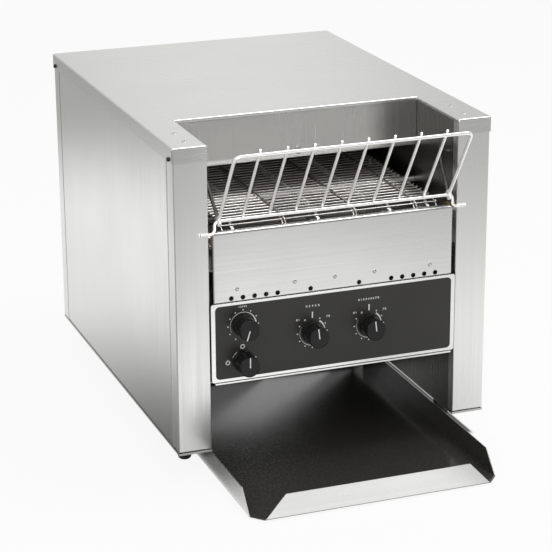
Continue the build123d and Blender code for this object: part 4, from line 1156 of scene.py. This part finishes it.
# %% Rack frame, arms and foot bar
RACK_X, BAR_Y, BAR_Z = 171.0, -1.05, 375.0
RACK_WIRE, BAR_WIRE, EYE = 5.0, 4.5, 5.05
HOOK_END, HOOK_START, HOOK_Z = 197, 177, BAR_Z - 18
RAIL = Vector((0, -72.0, 482.5))
FOOT = Vector((0, BAR_Y, BAR_Z))
PIVOT = Vector((0, 43.8, 426.2))
slope = (RAIL - FOOT).normalized()
over = Vector((0, slope.z, -slope.y))


def spot(x, place):
    """A point of the rack: x and a (y, z) vector in millimetres."""
    return at(x, place.y, place.z)


def eye_points(x):
    """The points of an eye round the foot bar."""
    turns = [math.tau * step / 24 for step in range(24)]
    return [spot(x, FOOT + EYE * (slope * math.cos(turn) + over * math.sin(turn)))
            for turn in turns]


leg = FOOT + slope * EYE
arm = FOOT + (PIVOT - FOOT).normalized() * EYE
frame_wire = wire("rack_frame_wire", [rounded_path(
    [spot(-RACK_X, leg), spot(-RACK_X, RAIL), spot(RACK_X, RAIL), spot(RACK_X, leg)], 8 * MM)],
    RACK_WIRE, rack_plating)
arms = wire("rack_arms", [rounded_path([spot(side * RACK_X, arm), spot(side * (RACK_X + 4), PIVOT),
                                        spot(side * 193, PIVOT)], 5 * MM) for side in (-1, 1)],
            RACK_WIRE, warm_wire)
eyes = wire("eyes", [eye_points(-RACK_X), eye_points(RACK_X)], RACK_WIRE, rack_plating,
            closed=True)
keep(arms, "rack", smooth=60)
add_meshes(frame_wire, eyes.data)
discard(eyes)
keep(frame_wire, "rack", ["rack_frame"], smooth=60)

foot_bar = wire("rack_foot_bar", [rounded_path(
    [at(-HOOK_END, BAR_Y, HOOK_Z), at(-HOOK_START, BAR_Y, HOOK_Z), at(-HOOK_START, BAR_Y, BAR_Z),
     at(HOOK_START, BAR_Y, BAR_Z), at(HOOK_START, BAR_Y, HOOK_Z), at(HOOK_END, BAR_Y, HOOK_Z)],
    7 * MM)], BAR_WIRE, rack_plating)
keep(foot_bar, "rack", ["rack_hook_bar"], smooth=60)
print("rack frame:", len(frame_wire.data.polygons), "faces")

# %% [markdown]
# Slats stand in a row, while welds and screws sit at chosen points. That makes two trees: one
# copies a part in equal steps along a line, the other copies it to every point of a mesh and
# turns it as that point says.

# %% Copy a part along a row or to points


def row_tree():
    """Copies a part along a straight row."""
    tree = Tree("row_of_parts", Part="Object", Count="Int", Start="Vector", Step="Vector",
                Turn="Rotation", Material="Material")
    line = tree.add("GeometryNodeMeshLine", {"Count": tree.inputs["Count"],
                                             "Start Location": tree.inputs["Start"],
                                             "Offset": tree.inputs["Step"]})
    copies = tree.add("GeometryNodeInstanceOnPoints",
                      {"Points": line.outputs[0], "Instance": tree.part("Part"),
                       "Rotation": tree.inputs["Turn"]})
    return tree.end(copies.outputs[0])


def places_tree():
    """Copies a part to every point of a mesh; the points carry how the copy is turned."""
    tree = Tree("part_at_points", Part="Object", Places="Object", Material="Material")
    turn = tree.add("GeometryNodeInputNamedAttribute", {"Name": "turn"}, data_type="FLOAT_VECTOR")
    copies = tree.add("GeometryNodeInstanceOnPoints",
                      {"Points": tree.part("Places"), "Instance": tree.part("Part"),
                       "Rotation": turn.outputs[0]})
    return tree.end(copies.outputs[0])


ROW, PLACES = row_tree(), places_tree()
print("trees:", ROW.name, "and", PLACES.name)

# %% [markdown]
# Eight slats lie on the frame, and their cut ends are a little rounded. One slat is made and its
# ends are drawn in, and the row tree copies it. Each slat is welded at the foot bar and at the
# rail, so a small blob of metal goes to each crossing.

# %% Slats and their welds
SLATS, SLAT_STEP, SLAT_WIRE = 8, 38.5, 4.2
LIFT, SLAT_OVERHANG, WELD_LIFT = 4.7, 4.6, 2.3
FIRST_SLAT = -(SLATS - 1) * SLAT_STEP / 2
low = FOOT + over * LIFT
high = RAIL + over * LIFT + slope * SLAT_OVERHANG
slat = wire("slat", [[spot(0, low + (high - low) * part) - spot(0, low)
                      for part in (0, 0.006, 0.02, 0.5, 0.98, 0.994, 1)]],
            SLAT_WIRE, rack_plating, sides=4)
for vertex in slat.data.vertices:
    along_slat = vertex.co.dot(slope)
    part_way = along_slat / ((high - low).length * MM)
    tip = min(part_way, 1 - part_way)
    if tip < 0.01:
        centre = slope * along_slat
        vertex.co = centre + (vertex.co - centre) * (0.62 if tip < 0.003 else 0.9)
slats = grow("rack_slat_wires", ROW, Part=slat, Count=SLATS, Start=spot(FIRST_SLAT, low),
             Step=(SLAT_STEP * MM, 0, 0), Material=rack_plating)
keep(slats, "rack", ["rack_slats"], smooth=60)
weld = as_object("weld", lathe([(0, -2.6), (1.6, -2.2), (2.4, 0), (1.6, 2.2), (0, 2.6)], 12))
markers = places_mesh([spot(FIRST_SLAT + SLAT_STEP * slat_number, place + over * WELD_LIFT)
                       for slat_number in range(SLATS) for place in (FOOT, RAIL)])
welds = grow("rack_welds", PLACES, Part=weld, Places=markers, Material=rack_plating)
keep(welds, "rack")
discard(slat, weld, markers)
print("rack slats:", len(slats.data.polygons), "faces")

# %% [markdown]
# Satin wire scatters the light that comes up from a pale counter. A lamp low at the front stands
# in for it, and light linking keeps it to the rack, so that no sheet behind it turns brighter.

# %% Light from the counter on the rack
rack_only = bpy.data.collections.new("rack_only")
for thing in bpy.data.objects:
    if thing.name.startswith("rack_"):
        rack_only.objects.link(thing)
glow_lamp = soft_lamp("counter_glow", (-0.4, -1.5, 0.1), (0, -0.25, 0.4), size=0.5, watts=19)
glow_lamp.light_linking.receiver_collection = rack_only

# %% [markdown]
# ## Belt
# The belt is woven from single wires. Each one runs straight across, and at every column of links
# it bends back, passes under its neighbour, comes up round it and returns. One such wire is drawn
# point by point, and the trees copy it along the straight runs and round the two shafts.

# %% One belt wire


def belt_path():
    """One wire of the belt from edge to edge, hooking its neighbour 12.7 mm further on."""
    hook = [(-2.9, 0, 0), (-2.3, 1.6, -0.5), (-1.6, 10.3, -1.7), (-1.3, 12.7, -2.1),
            (-0.6, 14.6, -1.0), (0.0, 14.8, 0.4), (0.7, 13.6, 1.8), (1.2, 11.6, 2.0),
            (2.0, 2.2, 0.6), (2.7, 0, 0)]
    end = [(0, 0, 0), (1.3, 1.4, -0.4), (1.7, 10.3, -1.7), (1.8, 12.7, -2.1), (1.8, 14.4, -1.0),
           (1.8, 14.5, 0.6), (1.8, 13.2, 1.9), (1.8, 11.4, 2.0)]
    path = [(-158.7 - x, y, z) for x, y, z in reversed(end)]
    for column in (-70.0, 36.0, 128.0):
        path += [(column + x, y, z) for x, y, z in hook]
    path += [(158.7 + x, y, z) for x, y, z in end]
    return [Vector(point) * MM for point in path]


strand = wire("strand", [belt_path()], 2.0, belt_wire, sides=1)
print("one belt wire:", len(strand.data.polygons), "faces")

# %% [markdown]
# Round a shaft the wires stand like the spokes of a wheel. The ring tree works out each copy's
# angle from its number, places it by the sine and cosine of that angle and leans it towards its
# neighbour.

# %% Copy a part round a shaft


def ring_tree():
    """Copies a part round a shaft, each tilted towards its neighbour."""
    tree = Tree("ring_of_parts", Part="Object", Count="Int", Centre="Vector", Radius="Float",
                First="Float", Spacing="Float", Tilt="Float", Material="Material")
    line = tree.add("GeometryNodeMeshLine", {"Count": tree.inputs["Count"]})
    index = tree.add("GeometryNodeInputIndex").outputs[0]
    angle = tree.add("ShaderNodeMath", {0: index, 1: tree.inputs["Spacing"],
                                        2: tree.inputs["First"]}, operation="MULTIPLY_ADD")
    sine = tree.add("ShaderNodeMath", {0: angle.outputs[0]}, operation="SINE")
    cosine = tree.add("ShaderNodeMath", {0: angle.outputs[0]}, operation="COSINE")
    offset = tree.add("ShaderNodeCombineXYZ", {"Y": sine.outputs[0], "Z": cosine.outputs[0]})
    reach = tree.add("ShaderNodeVectorMath", {0: offset.outputs[0]}, operation="SCALE")
    tree.group.links.new(tree.inputs["Radius"], reach.inputs["Scale"])
    place = tree.add("ShaderNodeVectorMath", {0: reach.outputs[0], 1: tree.inputs["Centre"]},
                     operation="ADD")
    points = tree.add("GeometryNodeSetPosition", {"Geometry": line.outputs[0],
                                                  "Position": place.outputs[0]})
    lean = tree.add("ShaderNodeMath", {0: angle.outputs[0], 1: tree.inputs["Tilt"]},
                    operation="ADD")
    back = tree.add("ShaderNodeMath", {0: lean.outputs[0], 1: -1.0}, operation="MULTIPLY")
    turn = tree.add("ShaderNodeCombineXYZ", {"X": back.outputs[0]})
    copies = tree.add("GeometryNodeInstanceOnPoints",
                      {"Points": points.outputs[0], "Instance": tree.part("Part"),
                       "Rotation": turn.outputs[0]})
    return tree.end(copies.outputs[0])


RING = ring_tree()
print("tree:", RING.name)

# %% [markdown]
# The upper run lies level, and the lower run is the same row turned over and running back. Round
# each shaft the wires are as far apart as the teeth that carry them, so the pitch also gives the
# radius of the bend.

# %% Copy it along the belt
PITCH, WIRES, IDLER_Y = 12.7, 38, 32.5
CIRCLE = PITCH / 2 / math.sin(math.pi / 12)
BELT_Z = 364.0
SHAFT_Z = BELT_Z - CIRCLE
DRIVE_Y = IDLER_Y + WIRES * PITCH
upper = grow("belt_top_wires", ROW, Part=strand, Count=WIRES, Start=at(0, IDLER_Y, BELT_Z),
             Step=(0, PITCH * MM, 0), Material=belt_wire)
keep(upper, "casing", ["belt_upper_run"], smooth=89)
lower = grow("belt_return_wires", ROW, Part=strand, Count=WIRES,
             Start=at(0, DRIVE_Y, SHAFT_Z - CIRCLE), Step=(0, -PITCH * MM, 0),
             Turn=(math.pi, 0, 0), Material=belt_wire)
keep(lower, "casing", ["belt_lower_run"], smooth=89)
for name, node, y, first in (("belt_rear_bend", "belt_rear_wrap", DRIVE_Y, 0.0),
                             ("belt_front_bend", "belt_front_wrap", IDLER_Y, math.pi)):
    wrap = grow(name, RING, Part=strand, Count=6, Centre=at(0, y, SHAFT_Z), Radius=CIRCLE * MM,
                First=first, Spacing=math.pi / 6, Tilt=math.pi / 12, Material=belt_wire)
    keep(wrap, "casing", [node], smooth=89)
discard(strand)
print("belt:", 2 * WIRES + 12, "wires")

# %% [markdown]
# ## Recess and tray
# The recess ends in a back wall whose lower edge folds away to the rear. It is a folded sheet like
# the others, with a wider bend, and its finish carries a painted highlight along the foot, so a
# soft bright line shows above the belt.

# %% Back wall of the loading recess
WALL, WALL_BACK, WALL_TOP = limits("hopper_back_wall")[1]
WALL_LOW = limits("hopper_back_wall")[0][2]
hopper = folded_sheet("recess_wall", [
    ([(-WALL, RECESS, WALL_LOW), (WALL, RECESS, WALL_LOW), (WALL, RECESS, WALL_TOP),
      (-WALL, RECESS, WALL_TOP)], (0, -1, 0)),
    ([(-WALL, RECESS, WALL_LOW), (WALL, RECESS, WALL_LOW), (WALL, WALL_BACK, WALL_LOW),
      (-WALL, WALL_BACK, WALL_LOW)], (0, 0, -1)),
], hopper_steel, bend=2.4)
keep(hopper, "casing", ["hopper_back_wall"])
print("recess wall:", len(hopper.data.polygons), "faces")

# %% [markdown]
# The tray is one bent sheet with two sides and a front lip. Its front corners are cut away, so
# that crumbs can be brushed out. The Solidify modifier gives the new inner faces the second
# material, which is the dark coating, and the back edge takes that coating too.

# %% Toast tray
TRAY, TRAY_BACK = limits("toast_tray")[1][:2]
TRAY_FLOOR, SIDE_RIM, LIP_RIM = 2, 33.5, 35.3
SIDE_FRONT, SIDE_RIM_FRONT = -147, -117
LIP_FOOT, LIP_FOOT_Y, LIP, LIP_Y = 167, -165.4, 136.0, -163.1
tray = folded_sheet("tray_sheet", [
    ([(-TRAY, TRAY_BACK, TRAY_FLOOR), (-TRAY, SIDE_FRONT, TRAY_FLOOR),
      (-LIP_FOOT, LIP_FOOT_Y, TRAY_FLOOR), (LIP_FOOT, LIP_FOOT_Y, TRAY_FLOOR),
      (TRAY, SIDE_FRONT, TRAY_FLOOR), (TRAY, TRAY_BACK, TRAY_FLOOR)], (0, 0, -1)),
    ([(-TRAY, TRAY_BACK, TRAY_FLOOR), (-TRAY, SIDE_FRONT, TRAY_FLOOR),
      (-TRAY, SIDE_RIM_FRONT, SIDE_RIM), (-TRAY, TRAY_BACK, SIDE_RIM)], (-1, 0, 0)),
    ([(TRAY, TRAY_BACK, TRAY_FLOOR), (TRAY, SIDE_FRONT, TRAY_FLOOR),
      (TRAY, SIDE_RIM_FRONT, SIDE_RIM), (TRAY, TRAY_BACK, SIDE_RIM)], (1, 0, 0)),
    ([(-LIP_FOOT, LIP_FOOT_Y, TRAY_FLOOR), (LIP_FOOT, LIP_FOOT_Y, TRAY_FLOOR),
      (LIP, LIP_Y, LIP_RIM), (-LIP, LIP_Y, LIP_RIM)], (0, -1, 0)),
], tray_steel, coating, bend=1.4, edge=0.25)
keep(tray, "tray", ["toast_tray"])
for face in tray.data.polygons:
    if face.center.y > at(0, TRAY_BACK - 0.5, 0).y:
        face.material_index = 1
print("tray:", len(tray.data.polygons), "faces")

# %% [markdown]
# In use the chute behind the tray is warm, bright sheet, and the tray's dull coating shows it
# as a soft haze. Two flat lamps that lie over the chute stand in for it. Light linking keeps
# their light to the tray, and nothing but the tray casts a shadow in it.

# %% Haze on the tray
CHUTE_Y, CHUTE_Z, HAZE_LENGTH = 500, 136, 400
FALL = math.atan(0.753)
tray_only = bpy.data.collections.new("tray_only")
tray_only.objects.link(tray)
lie, face_up = Matrix.Rotation(FALL, 4, "X"), Matrix.Rotation(math.pi, 4, "Y")
for name, x, width, watts, turn in (("chute_haze", 50, 120, 0.15, 7),
                                    ("chute_haze_wide", 2, 310, 0.2, 5)):
    lamp = bpy.data.objects.new(name, bpy.data.lights.new(name, "AREA"))
    bpy.context.collection.objects.link(lamp)
    lamp.data.shape = "RECTANGLE"
    lamp.data.size, lamp.data.size_y = width * MM, HAZE_LENGTH * MM
    lamp.data.energy = watts
    lamp.matrix_world = (Matrix.Translation(at(x, CHUTE_Y, CHUTE_Z)) @ lie
                         @ Matrix.Rotation(math.radians(turn), 4, "Z") @ face_up)
    lamp.visible_camera = False
    lamp.light_linking.receiver_collection = tray_only
    lamp.light_linking.blocker_collection = tray_only
print("haze lamps over the chute, falling", round(math.degrees(FALL)), "degrees")

# %% [markdown]
# ## Feet and fasteners
# The machine stands on four rubber feet, which taper towards the counter. They are one turned
# shape at four points.

# %% Feet
foot = as_object("foot", lathe([(0, 0), (5, 0), (6.9, 0.5), (8.5, 1.7), (9.5, 3.4), (10, 5.2),
                                (10.6, 12), (11.3, 24), (11.9, 36.4), (11.4, 38), (0, 38)], 32))
FOOT_PLACES = [at(side * x, y, 0) for side in (-1, 1) for x, y in ((202, 76), (172, 544))]
markers = places_mesh(FOOT_PLACES)
feet = grow("feet", PLACES, Part=foot, Places=markers, Material=rubber)
keep(feet, "casing", ["rubber_feet"])
discard(foot, markers)
print("feet:", len(FOOT_PLACES))

# %% [markdown]
# The cover and the back are held by pan-head screws. Their cross is cut with a Boolean modifier,
# because it is what the eye knows a screw by. One head is made, and the point tree copies it.

# %% Screws of the cover and the back


def scatter(name, part, points, turn, material, node):
    """Copies a turned part to points of the casing and keeps the result."""
    markers = places_mesh(points, turn)
    made = grow(name, PLACES, Part=part, Places=markers, Material=material)
    keep(made, "casing", [node], smooth=30)
    discard(markers)


head = as_object("head", lathe([(0, 0), (3.9, 0), (4.0, 0.2), (3.7, 0.55), (2.6, 0.9),
                                (1.2, 1.05), (0, 1.1)], 24))
cross = bmesh.new()
for turned_by in (0, math.pi / 2):
    bmesh.ops.create_cube(cross, size=1, matrix=Matrix.Translation((0, 0, 1.1 * MM))
                          @ Matrix.Rotation(turned_by, 4, "Z")
                          @ Matrix.Diagonal((4.0 * MM, 0.8 * MM, 1.1 * MM, 1)))
cross_bars = as_object("cross", cross)
cross_cut = head.modifiers.new("cross", "BOOLEAN")
cross_cut.object = cross_bars
cross_cut.operation = "DIFFERENCE"
cross_cut.solver = "EXACT"
cross_cut.use_self = True
plain(head)
COVER_SCREWS = [at(side * 207, y, TOP) for side in (-1, 1) for y in (31, 75)]
BACK_SCREWS = [at(side * 192.2, REAR, z) for side in (-1, 1) for z in (70, 250, 430)]
scatter("cover_screw_heads", head, COVER_SCREWS, (0, 0, 0.6), screw_steel, "cover_screws")
scatter("back_screw_heads", head, BACK_SCREWS, (-math.pi / 2, 0, 0), screw_steel, "back_screws")
discard(head, cross_bars)
print("screws:", len(COVER_SCREWS) + len(BACK_SCREWS))

# %% [markdown]
# The front panel has hollow rivets, the recess wall two small domed screws, and a dark clip
# closes each end of the cover's side edges. They are too small for more than a turned profile.

# %% Rivets, recess screws and clips
rivet = as_object("rivet", lathe([(0, 0), (2.9, 0), (3.0, 0.2), (2.7, 0.7), (2.3, 0.9), (1.9, 0.8),
                                  (1.3, 0.25), (1.0, 0.3), (0, 0.4)], 24))
RIVETS = [at(x, FACE, 274) for x in (-145, -60, 0, 60, 145)]
scatter("front_rivets", rivet, RIVETS, (math.pi / 2, 0, 0), screw_steel, "panel_rivets")
dome = as_object("dome", lathe([(0, 0), (3.4, 0), (3.5, 0.15), (3.1, 0.5), (1.9, 0.8),
                                (0, 0.9)], 20))
scatter("recess_screws", dome, [at(0, RECESS, z) for z in (417.5, 425)], (math.pi / 2, 0, 0),
        screw_steel, "hopper_screws")
clip = as_object("clip", lathe([(0, 0), (3.1, 0), (3.1, 1.4), (2.7, 2.3), (1.8, 2.8), (0, 2.9)],
                               24))
for side, word in ((-1, "left"), (1, "right")):
    scatter(f"side_clips_{word}", clip, [at(side * HALF, y, 464.5) for y in (14, 606)],
            (0, side * math.pi / 2, 0), black_plastic, "side_screws")
discard(rivet, dome, clip)
print("rivets:", len(RIVETS))

# %% [markdown]
# ## Back
# The back panel is one more folded sheet. Its returns reach round both sides of the casing, up to
# the grooves beside the side panels.

# %% Back sheet
back = folded_sheet("back_sheet", [
    ([(-SIDE, REAR, LOW), (SIDE, REAR, LOW), (SIDE, REAR, HIGH), (-SIDE, REAR, HIGH)],
     (0, 1, 0)),
    ([(-SIDE, REAR, LOW), (-SIDE, REAR, HIGH), (-SIDE, REAR - RETURN, HIGH),
      (-SIDE, REAR - RETURN, LOW)], (-1, 0, 0)),
    ([(SIDE, REAR, LOW), (SIDE, REAR, HIGH), (SIDE, REAR - RETURN, HIGH),
      (SIDE, REAR - RETURN, LOW)], (1, 0, 0)),
], side_steel)
print("back sheet folded:", len(back.data.polygons), "faces before its edges are softened")

# %% [markdown]
# The sheet has slots for warm air at the top and for the fan below, and a round hole for the
# cord. They are cut as the vents were, with a punch whose ends are round for the slots.

# %% Slots in the back sheet


def slot_punch(width, height):
    """A punch with round ends, along X, that cuts through the back sheet."""
    shape = bmesh.new()
    outline = []
    half = (width - height) / 2
    for side in (1, -1):
        for step in range(9):
            turn = math.radians(-90 + 180 * step / 8)
            outline.append((side * (half + height / 2 * math.cos(turn)),
                            side * height / 2 * math.sin(turn)))
    lower_ring = [shape.verts.new((x * MM, -5 * MM, z * MM)) for x, z in outline]
    upper_ring = [shape.verts.new((x * MM, 5 * MM, z * MM)) for x, z in outline]
    shape.faces.new(lower_ring)
    shape.faces.new(upper_ring)
    for step in range(len(outline)):
        after = (step + 1) % len(outline)
        shape.faces.new([lower_ring[step], lower_ring[after], upper_ring[after],
                         upper_ring[step]])
    bmesh.ops.recalc_face_normals(shape, faces=shape.faces)
    return as_object("slot_punch", shape)


def slotted(name, sheet, places, width, height):
    """A sheet with slots punched at the places."""
    punch, spots = slot_punch(width, height), places_mesh(places)
    result = grow(name, HOLES, Sheet=sheet, Punch=punch, Places=spots, Material=side_steel)
    discard(punch, spots, sheet)
    return result


ROWS, SLOT = 6, 5
LOUVRE, LOUVRE_STEP, FAN_SLOT, FAN_SLOT_STEP = 90, 14, 53.2, 10
GLAND, GLAND_HOLE = at(150, REAR, 75), 10.15
MIDDLE_ROW = (ROWS - 1) / 2
LOUVRES = [at(side * 70, REAR, 400 + LOUVRE_STEP * (row - MIDDLE_ROW))
           for side in (-1, 1) for row in range(ROWS)]
FAN_SLOTS = [at(-100, REAR, 92 + FAN_SLOT_STEP * (row - MIDDLE_ROW)) for row in range(ROWS)]
back = slotted("back_sheet", plain(back), LOUVRES, LOUVRE, SLOT)
back = slotted("back_sheet", back, FAN_SLOTS, FAN_SLOT, SLOT)
back = punched("back_sheet", back, [GLAND], GLAND_HOLE)
keep(back, "casing", ["back_panel"])
print("back sheet:", len(back.data.polygons), "faces")

# %% [markdown]
# A fold of sheet stands over each warm-air slot like an eyelid, so that drips run off. It is a
# quarter turn of thin sheet that closes at both ends. Its rows of points are joined into faces,
# the Solidify modifier thickens it outwards, and the point tree sets one over each of the twelve
# slots.

# %% Folds over the warm-air slots
HOOD_DEPTH, HOOD_TOP, HOOD_DROP = 1.3, 4.6, 6.2
hood = bmesh.new()
rows = []
for step in range(7):
    turn = math.radians(90 * step / 6)
    out, height = HOOD_DEPTH * math.sin(turn), HOOD_TOP - HOOD_DROP * (1 - math.cos(turn))
    rows.append([hood.verts.new((x * MM, out * depth * MM, height * MM))
                 for x, depth in ((-47, 0), (-44.5, 0.8), (-42, 1), (42, 1), (44.5, 0.8), (47, 0))])
for lower_row, upper_row in zip(rows, rows[1:]):
    for first in range(5):
        hood.faces.new([lower_row[first], lower_row[first + 1], upper_row[first + 1],
                        upper_row[first]])
bmesh.ops.remove_doubles(hood, verts=hood.verts, dist=1e-7)
bmesh.ops.recalc_face_normals(hood, faces=hood.faces)
eyelid = as_object("eyelid", hood, side_steel)
if sum(face.normal.y for face in eyelid.data.polygons) < 0:
    eyelid.data.flip_normals()
lid = eyelid.modifiers.new("lid", "SOLIDIFY")
lid.thickness = 0.5 * MM
lid.offset = 1
plain(eyelid)
markers = places_mesh(LOUVRES)
hoods = grow("louvre_hoods", PLACES, Part=eyelid, Places=markers, Material=side_steel)
keep(hoods, "casing")
discard(eyelid, markers)
print("folds over the slots:", len(LOUVRES))

# %% [markdown]
# The gland for the mains cord is a threaded bush with a collar and a rounded cap. It is a hollow
# turned shape, laid on its side and pointed to the rear.

# %% Cord gland
gland = lathe([(4.5, -30), (10, -30), (10, 0.3), (14, 0.3), (14, 5.2), (13.2, 5.6), (11, 6),
               (11, 14), (10.4, 17.5), (8.6, 20.3), (6.5, 21.3), (4.5, 21.5), (4.5, -30)], 48, "Y")
gland_piece = as_object("gland", gland, black_plastic)
gland_piece.data.transform(Matrix.Rotation(math.pi, 4, "Z"))
gland_piece.data.transform(Matrix.Translation(GLAND))
keep(gland_piece, "casing", ["cord_gland"])
print("gland:", len(gland_piece.data.polygons), "faces")
